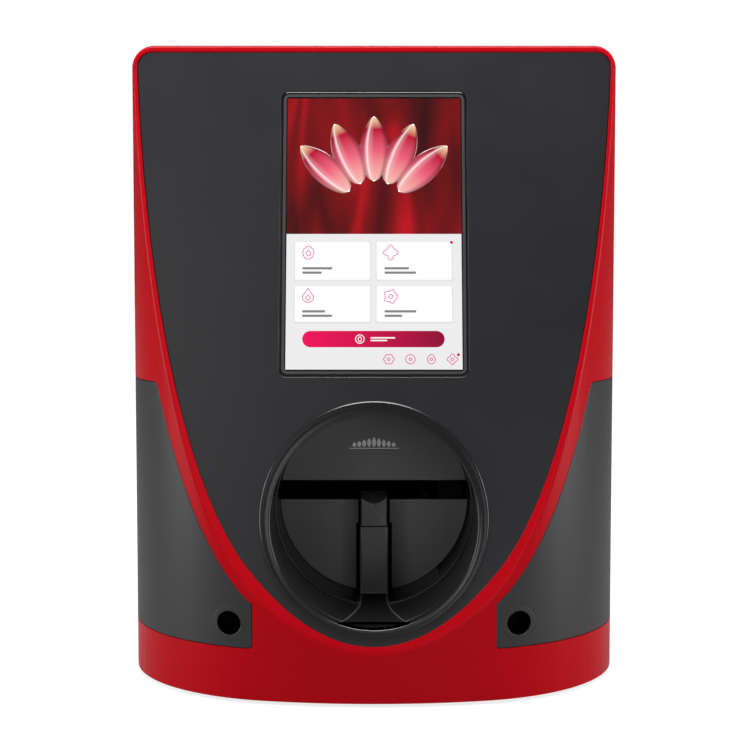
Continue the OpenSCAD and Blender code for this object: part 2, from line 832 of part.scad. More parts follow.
module gantry_left_block() {
  plate_z = pulley_z + belt_w + 3.5;
  color(charcoal) {
    difference() {
      mirror([1, 0, 0]) gantry_block();
      rod_y(-y_rod_x, screw_z, rod_r + 2.5, gantry_y - 60, gantry_y + 60);
    }
    // Bracket that carries the motor above its pulley
    difference() {
      union() {
        translate([-block_x - block_w, pulley_y - 12, block_top - 0.5])
          cube([1.6, 20, plate_z - block_top + 0.5]);
        translate([-block_x - block_w, pulley_y - 12, plate_z]) cube([motor_side, 20, 2]);
      }
      translate([-pulley_x, pulley_y, plate_z - 1]) cylinder(r = 4, h = 4);
    }
  }
}

module gantry_right_block() { color(charcoal) gantry_block(); }

module x_guide_rods() {
  color(steel) for (s = [-1, 1])
    rod_x(gantry_y + s * rod_lead, x_rod_z, rod_r, -block_x - 12, block_x + 12);
}

module lead_nut() {
  color([0.75, 0.6, 0.3]) difference() {
    rod_y(-y_rod_x, screw_z, rod_r + 2.4, gantry_y - 16, gantry_y + 16);
    rod_y(-y_rod_x, screw_z, rod_r + run_gap, gantry_y - 20, gantry_y + 20);
  }
}

module x_motor() {
  z0 = pulley_z + belt_w + 5.5;
  color([0.25, 0.25, 0.27]) difference() {
    translate([-pulley_x, pulley_y - 2, z0]) motor_plates(motor_side - 4, 20);
    translate([-pulley_x, pulley_y, z0 - 1]) cylinder(r = 2.5 + run_gap, h = 12);
  }
}

// Flanged pulley round Z
module pulley() {
  cylinder(r = pulley_r, h = belt_w + 2.4);
  for (z = [0, belt_w + 1.4]) translate([0, 0, z]) cylinder(r = pulley_r + 1.8, h = 1);
}

module x_motor_pulley() {
  color(steel) translate([-pulley_x, pulley_y, pulley_z]) {
    pulley();
    cylinder(r = 2.5, h = belt_w + 15);
  }
}

module x_idler_pulley() {
  color(steel) translate([pulley_x, pulley_y, pulley_z]) difference() {
    pulley();
    translate([0, 0, -1]) cylinder(r = 2.5 + run_gap, h = 20);
  }
}

module idler_pin() {
  color(steel) translate([pulley_x, pulley_y, block_top]) {
    cylinder(r = 2.5, h = belt_w + 8);
    cylinder(r = 4, h = 2.6);
    translate([0, 0, belt_w + 5.8]) cylinder(r = 4, h = 1.4);
  }
}

module belt_loop(r) {
  for (s = [-1, 1]) translate([s * pulley_x, pulley_y]) circle(r = r);
  translate([-pulley_x, pulley_y - r]) square([2 * pulley_x, 2 * r]);
}

module x_belt() {
  color(black) translate([0, 0, pulley_z + 1.2]) linear_extrude(belt_w) difference() {
    belt_loop(pulley_r + run_gap + belt_t);
    belt_loop(pulley_r + run_gap);
  }
}

cartridge_w = carriage_w - 8.4;
cartridge_d = carriage_d - 20.4;
bush_l = 8;

module print_carriage() {
  x = carriage_x;
  run_y = pulley_y + pulley_r + run_gap;
  color(black) difference() {
    union() {
      block([x, gantry_y, carriage_z], [carriage_w, carriage_d, carriage_h]);
      // Arm with two jaws on the belt's rear run
      translate([x - 5, run_y - 2, carriage_z + carriage_h - 1])
        cube([10, belt_t + 4, pulley_z + 1 - carriage_z - carriage_h + belt_w]);
      // Ears for the latch
      for (s = [-1, 1]) along_x(x + s * 14 - 2, x + s * 14 + 2) {
        translate([gantry_y - 27, carriage_z + carriage_h - 1]) square([8, 4]);
        translate([gantry_y - 23, carriage_z + carriage_h + 3]) circle(r = 4);
      }
    }
    translate([x - 6, run_y - 0.3, pulley_z + 0.9]) cube([12, belt_t + 0.6, belt_w + 10]);
    block([x, gantry_y, carriage_z + 3], [cartridge_w + 0.4, cartridge_d + 0.4, carriage_h]);
    block([x, gantry_y - head_lead, carriage_z - 1], [12, 26, 6]);
    for (s = [-1, 1]) rod_x(gantry_y + s * rod_lead, x_rod_z, rod_r + 1.5, x - 40, x + 40);
    rod_x(gantry_y - 23, carriage_z + carriage_h + 3, pin_r, x - 20, x + 20);
    // Thinner lower sides
    for (s = [-1, 1]) block([x + s * carriage_w / 2, gantry_y, carriage_z + 8], [3, 30, 20]);
  }
}

module rod_bushings() {
  color([0.75, 0.6, 0.3]) for (s = [-1, 1], e = [0, 1]) {
    x0 = carriage_x - carriage_w / 2 + e * (carriage_w - bush_l);
    difference() {
      rod_x(gantry_y + s * rod_lead, x_rod_z, rod_r + 1.5, x0, x0 + bush_l);
      rod_x(gantry_y + s * rod_lead, x_rod_z, rod_r + run_gap, x0 - 1, x0 + bush_l + 1);
    }
  }
}

// Tank with a sloping shoulder, a nose that carries the nozzles, and a ribbed thumb tab
module ink_cartridge() {
  x = carriage_x;
  foot = carriage_z + 3.2;
  top = carriage_z + carriage_h - 2;
  front = gantry_y - cartridge_d / 2;
  rear = gantry_y + cartridge_d / 2;
  color([0.1, 0.1, 0.12]) {
    along_x(x - cartridge_w / 2, x + cartridge_w / 2) polygon([
      [front, foot], [rear, foot], [rear, top], [front + 9, top], [front, top - 12]
    ]);
    block([x, gantry_y - head_lead, head_z], [10, 24, 6]);
    block([x, rear - 3, top - 1], [14, 6, 3]);
    for (i = [0:2]) block([x, rear - 5 + i * 2, top + 1.5], [12, 0.8, 1]);
    // Lid's rim
    block([x, gantry_y + 4, top - 0.5], [cartridge_w - 4, cartridge_d - 24, 0.8]);
  }
}

module camera_module() {
  x = carriage_x - carriage_w / 2;
  color([0.12, 0.12, 0.14]) {
    block([x - 6.5, gantry_y, carriage_z + 16], [13, 20, 18]);
    translate([x - 6.5, gantry_y, carriage_z + 8]) cylinder(r = 5, h = 9);
    translate([x - 6.5, gantry_y, carriage_z + 5]) cylinder(r1 = 3.5, r2 = 5, h = 3);
  }
}

// Lever over the cartridge; it swings up at its rear end
module cartridge_latch() {
  x = carriage_x;
  z = carriage_z + carriage_h + 3;
  y = gantry_y - 23;
  color([0.1, 0.35, 0.6]) difference() {
    union() {
      along_x(x - 11.5, x + 11.5) {
        translate([y, z]) circle(r = 3);
        translate([y, z - 1]) square([31, 2.6]);
        translate([y + 18, z - 4.6]) square([7, 4]);
      }
      block([x, y + 33, z - 1], [12, 6, 4.5]);
    }
    rod_x(y, z, pin_r + run_gap, x - 20, x + 20);
  }
}

module latch_pin() {
  color(steel)
    rod_x(gantry_y - 23, carriage_z + carriage_h + 3, pin_r, carriage_x - 16, carriage_x + 16);
}

module capping_station() {
  z0 = mech_z + 2;
  color(black) difference() {
    block([carriage_x, gantry_y - head_lead, z0], [24, 36, head_z - 1 - z0]);
    block([carriage_x, gantry_y - head_lead, head_z - 5], [14, 27, 6]);
  }
}

module nozzle_wiper() {
  z0 = mech_z + 2;
  x = carriage_x - 20;
  color([0.2, 0.35, 0.6]) {
    block([x, gantry_y - head_lead, z0], [7, 20, 10]);
    block([x, gantry_y - head_lead, z0 + 9], [1.4, 16, head_z - 0.4 - z0 - 9]);
  }
}

module light_board() {
  y0 = plate_y + plate_t;
  color(board) translate([-30, y0, slot_z + slot_h + 6]) cube([60, 1.4, 10]);
  color([0.95, 0.95, 0.85]) for (i = [-3:3])
    block([i * 8, y0 + 1.8, slot_z + slot_h + 9.5], [3, 1, 3]);
}

// ---- Electronics and rear fittings ----

module main_board() {
  board_t = 1.6;
  y0 = rear_y - wall - board_gap - board_t;
  x0 = fan_x + fan_side / 2 + 6;
  z0 = door_z + door_h + board_rise;
  z1 = body_h - 32;
  mid_z = (z0 + z1) / 2;
  color(board) {
    translate([x0, y0, z0]) cube([board_w, board_t, z1 - z0]);
    for (x = [x0 + 8, x0 + board_w - 8], z = [z0 + 8, z1 - 8])
      rod_y(x, z, 3, y0 + 1, rear_y - wall);
  }
  // Heat sink, inductor and connector
  color(steel) {
    translate([0, y0 - 3, mid_z - 10]) cube([32, 3.5, 32]);
    for (i = [0:7]) translate([i * 4.2, y0 - 8, mid_z - 10]) cube([2, 6, 32]);
    translate([38, y0 - 6, z0 + 18]) cube([12, 6.5, 16]);
    translate([-16, y0 - 4, z0 + 18]) cube([24, 4.5, 10]);
  }
}

module driver_board() {
  color(board) {
    block([0, mech_mid, base_z + 4], [driver_w, driver_d, 1.6]);
    for (x = [-1, 1], y = [-1, 1])
      translate([x * (driver_w / 2 - 6), mech_mid + y * (driver_d / 2 - 6), base_z])
        cylinder(r = 3, h = 4.5);
  }
  color(black) for (i = [-1:1])
    block([i * 2.2 * chip, mech_mid, base_z + 5], [chip, chip, 4]);
}

module fan_housing() {
  y1 = rear_y - wall;
  color(black) difference() {
    along_y(y1 - fan_t, y1) translate([fan_x, fan_z]) rounded(fan_side, fan_side, 3);
    rod_y(fan_x, fan_z, fan_side / 2 - 1.5, y1 - fan_t - 1, y1 - 2);
    along_y(y1 - 3, y1 + 1) translate([fan_x, fan_z]) difference() {
      circle(r = fan_side / 2 - 1.5);
      circle(r = 8);
      for (a = [0, 90]) rotate(a) square([fan_side, 2.4], center = true);
    }
    rod_y(fan_x, fan_z, 1.5 + run_gap, y1 - 5, y1 - 0.8);
  }
}

module fan_rotor() {
  y1 = rear_y - wall - 2.3;
  color([0.15, 0.15, 0.17]) translate([fan_x, y1, fan_z]) rotate([90, 0, 0]) {
    cylinder(r = 7.5, h = 7);
    translate([0, 0, -1.2]) cylinder(r = 1.5, h = 2);
    for (i = [0:6]) rotate(i * 360 / 7) translate([6.5, -0.7, 0.6]) rotate([35, 0, 0]) cube([fan_side / 2 - 9, 1.4, 5]);
  }
}

module speakers() {
  y1 = rear_y - wall;
  color([0.2, 0.2, 0.22]) for (s = [-1, 1]) {
    rod_y(s * speaker_x, speaker_z, speaker_r, y1 - 3, y1);
    rod_y(s * speaker_x, speaker_z, speaker_r - 5, y1 - 9, y1 - 2);
  }
}

module power_inlet() {
  y1 = rear_y - wall;
  color(black) difference() {
    union() {
      block([inlet_x, y1 - 6, ports_z - 6], [12, 12, 12]);
      rod_y(inlet_x, ports_z, 4.1, y1 - 1, rear_y - 0.3);
    }
    rod_y(inlet_x, ports_z, 2.8, rear_y - 11, rear_y + 1);
  }
  color(steel) rod_y(inlet_x, ports_z, 1, rear_y - 12, rear_y - 3);
}

module usb_port() {
  y1 = rear_y - wall;
  color(steel) difference() {
    along_y(y1 - 10, rear_y - 0.3) translate([usb_x, ports_z]) square([13, 5.8], center = true);
    along_y(y1 - 8, rear_y + 1) translate([usb_x, ports_z]) square([12, 4.8], center = true);
  }
  color(black) along_y(y1 - 9, rear_y - 1.2) translate([usb_x, ports_z + 0.9])
    square([10.4, 1.6], center = true);
}

flange_y = rear_y - wall - 0.3;
flange_t = 1.6;
flange_r = button_d / 2 + 1.6;
stem_r = 3;
stem_l = 6;

// Cap with a flange that stops it in its hole, and a stem that works the switch
module power_button() {
  color(charcoal) {
    rod_y(button_x, ports_z, button_d / 2, flange_y - 1, rear_y - 0.2);
    rod_y(button_x, ports_z, flange_r, flange_y - flange_t, flange_y);
    rod_y(button_x, ports_z, stem_r, flange_y - flange_t - stem_l, flange_y - 1);
  }
}

// Push switch behind the cap; its spring is sealed inside
module power_switch() {
  well_y = flange_y - flange_t - button_travel - 0.3;
  bore_y = well_y - stem_l - 0.3;
  side = 2 * flange_r + 5;
  color(black) difference() {
    union() {
      along_y(well_y - 2, rear_y - wall) translate([button_x, ports_z]) rounded(side, side, 3);
      along_y(bore_y - 4, well_y - 1) translate([button_x, ports_z]) rounded(14, 18, 1);
    }
    rod_y(button_x, ports_z, flange_r + 0.5, well_y, rear_y);
    rod_y(button_x, ports_z, stem_r + run_gap, bore_y, rear_y);
  }
  color(steel) for (x = [-4, 0, 4]) along_y(bore_y - 9, bore_y - 3.5)
    translate([button_x + x, ports_z]) square([0.8, 3], center = true);
}

module rear_door() {
  y0 = rear_y - 5.8;
  color(charcoal) difference() {
    union() {
      along_y(y0, y0 + door_t) translate([0, door_z + door_h / 2])
        rounded(door_w, door_h, 3);
      translate([hinge_x, hinge_y, door_z + 0.2]) cylinder(r = 2.6, h = door_h - 0.4);
      translate([hinge_x, y0, door_z + 4]) cube([6, 2.6, door_h - 8]);
    }
    for (z = [door_z, door_z + door_h - 6])
      translate([hinge_x, hinge_y, z - 1]) cylinder(r = pin_r + run_gap, h = 8);
    // Finger scoop at the free edge
    translate([door_w / 2, y0 + door_t + 4, door_z + door_h / 2]) sphere(r = 6);
  }
}

module door_hinge_pins() {
  color(steel) for (z = [door_z - 4.5, door_z + door_h - 5])
    translate([hinge_x, hinge_y, z]) cylinder(r = pin_r, h = 9.5);
}

main_shell();
rear_shell();
base_plate();
feet();
left_side_cover();
right_side_cover();
left_socket();
right_socket();
front_panel();
touch_glass();
display_module();
screen_frame();
port_ring();
port_liner();
port_upper_plate();
port_lower_plate();
finger_handle();
finger_rest();
finger_rest_spring();
mech_tray();
mech_frame();
y_guide_rods();
y_motor();
y_lead_screw();
gantry_left_block();
gantry_right_block();
x_guide_rods();
lead_nut();
x_motor();
x_motor_pulley();
x_idler_pulley();
idler_pin();
x_belt();
print_carriage();
rod_bushings();
ink_cartridge();
camera_module();
cartridge_latch();
latch_pin();
capping_station();
nozzle_wiper();
light_board();
main_board();
driver_board();
fan_housing();
fan_rotor();
speakers();
power_inlet();
usb_port();
power_button();
power_switch();
rear_door();
door_hinge_pins();
shell_screws();
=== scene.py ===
"""Dressed model of a desktop nail printer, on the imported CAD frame.

Metres throughout: X to the viewer's right, the screen face looks along -Y, Z up from the floor.
The sections follow the printer as it is put together, from its feet to its rear door.
"""

import math

import bmesh
import bpy
import numpy as np
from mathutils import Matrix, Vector


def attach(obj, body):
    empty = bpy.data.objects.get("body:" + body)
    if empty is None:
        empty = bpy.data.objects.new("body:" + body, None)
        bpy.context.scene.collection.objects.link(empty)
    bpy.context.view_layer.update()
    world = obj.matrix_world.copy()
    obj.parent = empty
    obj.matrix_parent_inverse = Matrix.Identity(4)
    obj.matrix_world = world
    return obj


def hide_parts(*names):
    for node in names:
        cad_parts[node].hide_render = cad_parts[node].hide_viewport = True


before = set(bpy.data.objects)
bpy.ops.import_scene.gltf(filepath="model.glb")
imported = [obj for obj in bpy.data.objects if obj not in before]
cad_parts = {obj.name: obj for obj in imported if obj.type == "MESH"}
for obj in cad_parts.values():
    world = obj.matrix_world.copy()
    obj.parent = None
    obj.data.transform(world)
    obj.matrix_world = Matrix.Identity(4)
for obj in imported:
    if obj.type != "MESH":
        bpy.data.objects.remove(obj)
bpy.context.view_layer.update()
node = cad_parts


# ---- Base plate and feet ----
# An injection-moulded black floor with cooling slots, snapped inside the shell, and four soft
# rubber feet pressed through it by their stems.


class Wire:
    """One value inside a material. Arithmetic on it adds Math nodes to that material."""

    def __init__(self, finish, socket):
        self.finish, self.socket = finish, socket

    def maths(self, operation, a, b=0.0):
        return self.finish.node("Math", {0: a, 1: b}, operation=operation)

    def __add__(self, other):
        return self.maths("ADD", self, other)

    def __sub__(self, other):
        return self.maths("SUBTRACT", self, other)

    def __rsub__(self, other):
        return self.maths("SUBTRACT", other, self)

    def __mul__(self, other):
        return self.maths("MULTIPLY", self, other)

    __radd__, __rmul__ = __add__, __mul__


class Finish:
    """A surface finish in the making: one Principled shader and the nodes that feed it."""

    def __init__(self, name, colour, rough, metal=0.0, **plain):
        self.material = bpy.data.materials.new(name)
        self.material.use_nodes = True
        self.tree = self.material.node_tree
        self.shader = self.tree.nodes["Principled BSDF"]
        self.colour = (*colour, 1.0)
        self.feed("Base Color", self.colour)
        self.feed("Roughness", rough)
        self.feed("Metallic", metal)
        for socket, value in plain.items():
            self.feed(socket.replace("_", " "), value)
        self.place = self.node("TexCoord", out="Object")

    def node(self, kind, inputs=(), out=0, stops=None, **settings):
        """Adds a node of any type: settings first, then values or links for its sockets."""
        made = self.tree.nodes.new("ShaderNode" + kind)
        for name, value in settings.items():
            setattr(made, name, value)
        if stops:
            ramp = made.color_ramp
            while len(ramp.elements) < len(stops):
                ramp.elements.new(0.5)
            for element, (place, colour) in zip(ramp.elements, stops):
                element.position, element.color = place, colour
        for key, value in dict(inputs).items():
            self.join(made.inputs[key], value)
        return Wire(self, made.outputs[out])

    def join(self, socket, value):
        if isinstance(value, Wire):
            self.tree.links.new(value.socket, socket)
        else:
            socket.default_value = value

    def feed(self, socket, value):
        self.join(self.shader.inputs[socket], value)

    def noise(self, size, detail=3.0, stretch=(1, 1, 1), rough=0.5):
        """Noise whose features are about `size` metres across, drawn out along an axis."""
        at = self.node("Mapping", {"Vector": self.place, "Scale": stretch})
        return self.node("TexNoise", {"Vector": at, "Scale": 1 / size, "Detail": detail, "Roughness": rough})

    def mix(self, share, a, b):
        return self.node("Mix", {0: share, 6: a, 7: b}, out=2, data_type="RGBA")

    def shade(self, share, low, high):
        """Base colour that drifts between two brightnesses of the plain colour."""
        dark, light = ((*(c * k for c in self.colour[:3]), 1.0) for k in (low, high))
        self.feed("Base Color", self.mix(share, dark, light))

    def bump(self, height, depth, strength=1.0):
        self.feed("Normal", self.node("Bump", {"Height": height, "Distance": depth, "Strength": strength}))

    def on(self, *pieces):
        """Puts the finish on pieces, or on CAD nodes given by name."""
        for piece in pieces:
            mesh = (node[piece] if isinstance(piece, str) else piece).data
            mesh.materials.clear()
            mesh.materials.append(self.material)


def moulded(name, colour, rough, grain, depth, **plain):
    """Moulded plastic: a fine spark-eroded grain, and a slow drift in colour and gloss."""
    made = Finish(name, colour, rough, **plain)
    fine, slow = made.noise(grain), made.noise(0.03, 2.0)
    made.shade(slow, 0.94, 1.06)
    made.feed("Roughness", fine * 0.1 + (slow * 0.06 + (rough - 0.08)))
    made.bump(fine, depth)
    return made


floor_plastic = moulded("floor_plastic", (0.014, 0.014, 0.015), 0.5, 0.0006, 0.00003)
floor_plastic.on("base_plate")

rubber = Finish("rubber", (0.018, 0.018, 0.018), 0.8)
speckle = rubber.noise(0.0004, 4.0)
rubber.shade(speckle, 0.7, 1.4)
rubber.bump(speckle, 0.00004)
rubber.on("feet")


# ---- Red housing ----
# One moulding for front frame, flanks and top, in red plastic under a clear satin lacquer. It
# drops over the base plate, and the rear shell closes it.


def housed(piece, finish, body, *nodes):
    """Gives a finished piece its material and its body, and lets it stand for CAD nodes."""
    finish.on(piece)
    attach(piece, body)
    if nodes:
        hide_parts(*nodes)
    return piece


def eased(name, width, finish, body="housing", segments=3, crease=12.0, shape=None, soft=None):
    """A moulding with its sharp edges eased: a copy of the CAD form, welded, its flat faces
    made whole, and every edge that turns more than `crease` degrees rounded by `width` metres.
    `shape` first cuts and moves the copy's points; `soft` gives each edge its share of `width`."""
    mesh = node[name].data.copy()
    piece = bpy.data.objects.new(name + "_eased", mesh)
    bpy.context.scene.collection.objects.link(piece)
    work = bmesh.new()
    work.from_mesh(mesh)
    bmesh.ops.remove_doubles(work, verts=work.verts, dist=2e-6)
    if shape:
        shape(work)
    bmesh.ops.dissolve_limit(work, angle_limit=math.radians(0.4), verts=work.verts, edges=work.edges)
    work.to_mesh(mesh)
    work.free()
    mesh.polygons.foreach_set("use_smooth", [True] * len(mesh.polygons))
    mesh.set_sharp_from_angle(angle=math.radians(crease))
    sharp, ends = np.empty(len(mesh.edges), bool), np.empty(2 * len(mesh.edges), np.int32)
    places = np.empty(3 * len(mesh.vertices))
    mesh.attributes["sharp_edge"].data.foreach_get("value", sharp)
    mesh.edges.foreach_get("vertices", ends)
    mesh.vertices.foreach_get("co", places)
    share = soft(places.reshape(-1, 3)[ends].reshape(-1, 2, 3)) if soft else 1.0
    mesh.attributes.new("bevel_weight_edge", "FLOAT", "EDGE").data.foreach_set("value", sharp * share)
    bevel = piece.modifiers.new("edges", "BEVEL")
    bevel.width, bevel.segments, bevel.limit_method = width, segments, "WEIGHT"
    bevel.use_clamp_overlap = False
    bevel.miter_outer = "MITER_ARC"
    piece.modifiers.new("even", "WEIGHTED_NORMAL").keep_sharp = True
    return housed(piece, finish, body, name)


lean = math.radians(14.4)
sill = (-0.12, 0.0283)
port_z = 0.0946
# Plan of the front: corner circles of radius corner_r centred at (corner_x, wide_y), and the
# bow's circle between them, centred at bow_y
corner_x, corner_r, wide_y, bow_y = 0.037, 0.098, -0.018, 0.1511


def plan_half(y, inset=0.0):
    """Half width of the plan ahead of its widest section: the corner circle's reach at depth y."""
    return corner_x + np.sqrt(np.clip((corner_r - inset) ** 2 - np.clip(y - wide_y, None, 0) ** 2, 0, None))


def behind_face(y, z):
    return y - sill[0] - (z - sill[1]) * math.tan(lean)


def on_outline(x, y):
    """Whether points lie on the outer wall: on the bow's circle or on the corner's, by wedge."""
    bow = x * (bow_y - wide_y) < corner_x * (bow_y - y)
    return np.where(bow, np.hypot(x, y - bow_y) > 0.2708, np.hypot(x - corner_x, y - wide_y) > 0.0972)


def framing(*outlines):
    """Settles outlines on the leaning face, each (inset, top, lift, radius, depths, climb). Where
    the plan narrows, a top corner's arc is cut short: its points are spread over a whole quarter
    turn whose foot lies on the flank. The upper edge rises by `lift`, and the lower edge climbs
    the face by `climb` where it follows the bow. Depths are the planes that its points lie on."""

    def settle(work):
        for cut in np.linspace(-0.0375, -0.018, 7):
            near = [f for f in work.faces
                    if max(v.co.z for v in f.verts) > 0.33 and max(abs(v.co.x) for v in f.verts) > 0.118]
            parts = {part for f in near for part in (*f.verts, *f.edges)}
            bmesh.ops.bisect_plane(work, geom=near + list(parts), plane_co=(0, cut, 0), plane_no=(0, 1, 0))
        points = np.array([v.co for v in work.verts])
        slope = math.tan(lean)
        for inset, top, lift, radius, depths, climb in outlines:
            x, y, z = abs(points[:, 0]), points[:, 1], points[:, 2]
            leaning = np.any([abs(behind_face(y, z) - depth) < 3e-5 for depth in depths], axis=0)
            mine = (leaning | (inset == 0)) & (y < -0.0179)
            r, low = 0.012 - inset, top - 0.012 + inset
            new_low = top + lift - radius
            arc = mine & (abs(np.hypot(x - 0.123, z - low) - r - 4e-5) < 1.2e-4) & (x > 0.1229) & (z > low - 1e-5)
            wall = mine & (z > new_low) & (abs(x - plan_half(y, inset)) < 6e-5) & ~arc
            edge = leaning & (abs(z - top) < 5e-5) & ~arc
            start = np.arccos(np.clip((plan_half(y, inset) - 0.123) / (r + 4e-5), 0.01, 1))
            first = math.acos(r / (r + 4e-5))
            turned = (np.arctan2(z - low, x - 0.123) - start) / (math.pi / 2 - start)
            turned = first + np.clip(turned, 0, 1) * (math.pi / 2 - first)
            rise = np.minimum(new_low + (radius + 4e-5) * np.sin(turned), top + lift)
            new_z = np.select([arc, wall, edge], [rise, new_low, top + lift], z)
            new_y = np.where(leaning, y + (new_z - z) * slope, y)
            new_x = np.where(arc, plan_half(new_y, inset) - radius + (radius + 4e-5) * np.cos(turned), x)
            lower = leaning & (z < 0.15) & (np.hypot(x, z - port_z) > 0.0583) & ~on_outline(x, y)
            near_bow = np.clip((0.115 - x) / 0.055, 0, 1)
            risen = near_bow ** 2 * (3 - 2 * near_bow) * lower * climb
            points = np.stack([np.sign(points[:, 0]) * new_x, new_y + risen * slope, new_z + risen], -1)
        for vertex, place in zip(work.verts, points):
            vertex.co = place
        crowded = [v for v in work.verts if v.co.z > 0.33 and abs(v.co.x) > 0.118 and v.co.y < -0.015]
        bmesh.ops.remove_doubles(work, verts=crowded, dist=0.0003)

    return settle


def rim(ends):
    """Share of the full rounding: all of it where an edge lies on the face's outer rim, half of
    it round the panel's pocket, none elsewhere."""
    x, y, z = abs(ends[..., 0]), ends[..., 1], ends[..., 2]
    flat = (abs(behind_face(y, z)) < 3e-5).all(1)
    turned = np.hypot(np.clip(x - plan_half(y) + 0.012, 0, None), np.clip(z - 0.336, 0, None)) > 0.0107
    outer = (on_outline(x, y) | (turned & (z > 0.12))).all(1)
    return flat * np.where(outer, 1.0, 0.5)


lacquer = Finish("red_lacquer", (0.4, 0.001, 0.006), 0.3, Specular_IOR_Level=0.07)
peel, drift = lacquer.noise(0.0022, 1.0), lacquer.noise(0.05, 2.0)
lacquer.shade(drift, 0.97, 1.03)
lacquer.feed("Roughness", drift * 0.06 + 0.29)
lacquer.bump(peel, 0.000008)
eased("main_shell", 0.0012, lacquer, segments=4, soft=rim, shape=framing(
    (0.0, 0.348, 0.0, 0.012, (0.0,), 0.0), (0.0022, 0.3436, 0.0011, 0.0093, (0.0, 0.0027876), 0.0017)))


# ---- Rear shell ----
# Charcoal back half with a spark-eroded grain; its lip slides into the red shell and six
# cross-head screws hold it. Grilles and the door's recess are moulded in.

charcoal = moulded("charcoal", (0.034, 0.035, 0.038), 0.58, 0.0005, 0.00002)
charcoal.on("rear_shell")


# ---- Side covers and sockets ----
# Charcoal wrap-round covers clipped flush into the flanks, each with a round accessory socket
# whose sleeve is set in from behind.


def meshed(name, points, faces):
    mesh = bpy.data.meshes.new(name)
    mesh.from_pydata(points.reshape(-1, 3).tolist(), [], faces)
    mesh.update()
    piece = bpy.data.objects.new(name, mesh)
    bpy.context.scene.collection.objects.link(piece)
    return piece


def carried(name, loops, crease=30.0):
    """Closed skin through a stack of like loops, an array of loop, point and coordinate: each
    point joins its neighbours round and along, and the first and last loops are filled."""
    rows, count = loops.shape[:2]
    index = np.arange(rows * count).reshape(rows, count)
    beside = np.roll(index, -1, 1)
    faces = np.stack([index[:-1], beside[:-1], beside[1:], index[1:]], -1).reshape(-1, 4).tolist()
    faces += [index[0, ::-1].tolist(), index[-1].tolist()]
    piece = meshed(name, loops, faces)
    work = bmesh.new()
    work.from_mesh(piece.data)
    bmesh.ops.recalc_face_normals(work, faces=work.faces)
    work.to_mesh(piece.data)
    work.free()
    piece.data.polygons.foreach_set("use_smooth", [True] * len(piece.data.polygons))
    piece.data.set_sharp_from_angle(angle=math.radians(crease))
    return piece


cover_grain = moulded("cover_grain", (0.021, 0.021, 0.0235), 0.42, 0.0005, 0.00001, Specular_IOR_Level=0.3)
sleeve = moulded("socket_sleeve", (0.0015, 0.0015, 0.0015), 0.6, 0.0008, 0.00001, Specular_IOR_Level=0.1)
# A socket's section as radius and depth: up the back of its cup, round the flange that lies on
# the cover, and down the bore
socket_r = np.array([6.9, 6.9, 8.9, 8.9, 8.85, 8.7, 8.0, 7.0, 6.7, 6.5, 6.38, 6.35, 6.35, 6.35]) / 1000
socket_deep = np.array([19.5, 0.5, 0.4, 0.02, -0.06, -0.1, -0.1, -0.1, -0.14, -0.1, 0.02, 0.25, 6.0, 18.0]) / 1000
socket_x, socket_z, socket_turns = 0.0757, 0.0418, 72
round_socket = np.linspace(0, 2 * math.pi, socket_turns, endpoint=False)
for side, sign in (("left", -1), ("right", 1)):
    eased(side + "_side_cover", 0.00035, cover_grain, crease=20.0)
    across = socket_x + socket_r[:, None] * np.cos(round_socket)
    up = socket_z + socket_r[:, None] * np.sin(round_socket)
    surface = wide_y - np.sqrt(corner_r ** 2 - (across - corner_x) ** 2)
    middle = wide_y - math.sqrt(corner_r ** 2 - (socket_x - corner_x) ** 2)
    depth = np.where(socket_deep[:, None] < 0.003, surface, middle) + socket_deep[:, None]
    piece = carried(side + "_socket_cup", np.stack([sign * across, depth, up], -1))
    housed(piece, cover_grain, "housing", side + "_socket")
    piece.data.materials.append(sleeve.material)
    # From the tenth band on the skin runs down the bore; the last face but one closes the back
    number = np.arange(len(piece.data.polygons))
    inside = (number >= 10 * socket_turns) & (number != number[-1] - 1)
    piece.data.polygons.foreach_set("material_index", inside.astype(np.int32))


# ---- Front panel ----
# Flat charcoal panel with a fine matt grain, bonded into a shallow pocket of the leaning face.

panel_grain = moulded("panel_grain", (0.0075, 0.008, 0.0096), 0.36, 0.0004, 0.000006)
eased("front_panel", 0.0002, panel_grain, segments=2, crease=25.0,
      shape=framing((0.0025, 0.3433, 0.0011, 0.009, (0.00041297, 0.0026843), 0.0017)))


# ---- Screen ----
# A bought 7 inch display in a moulded frame, under a cover glass with a printed border. The
# lit picture is drawn as thin layers: a fan of painted nail tips over a page of tiles.


def on_face(x, up, out):
    """Points on the leaning face: x across, up the face from its sill, out along its normal."""
    y = sill[0] + up * math.sin(lean) - out * math.cos(lean)
    z = sill[1] + up * math.cos(lean) + out * math.sin(lean)
    return np.stack(np.broadcast_arrays(x, y, z), -1)


def layer(name, outlines, out, thick=0.00003, place=on_face):
    """Thin closed layer on the glass: each outline (metres from the screen's middle, anticlockwise)
    gives a front face, a back face and the wall between them. `place` may lay it elsewhere."""
    points, faces, start = [], [], 0
    for line in outlines:
        count = len(line)
        x, up = line[:, 0], line[:, 1] + (screen_mid if place is on_face else 0)
        points += [place(x, up, out + thick), place(x, up, out)]
        ring = start + np.arange(count)
        after = start + (np.arange(count) + 1) % count
        faces += [ring.tolist(), (ring + count)[::-1].tolist()]
        faces += np.stack([after, ring, ring + count, after + count], -1).tolist()
        start += 2 * count
    return meshed(name, np.concatenate(points), faces)


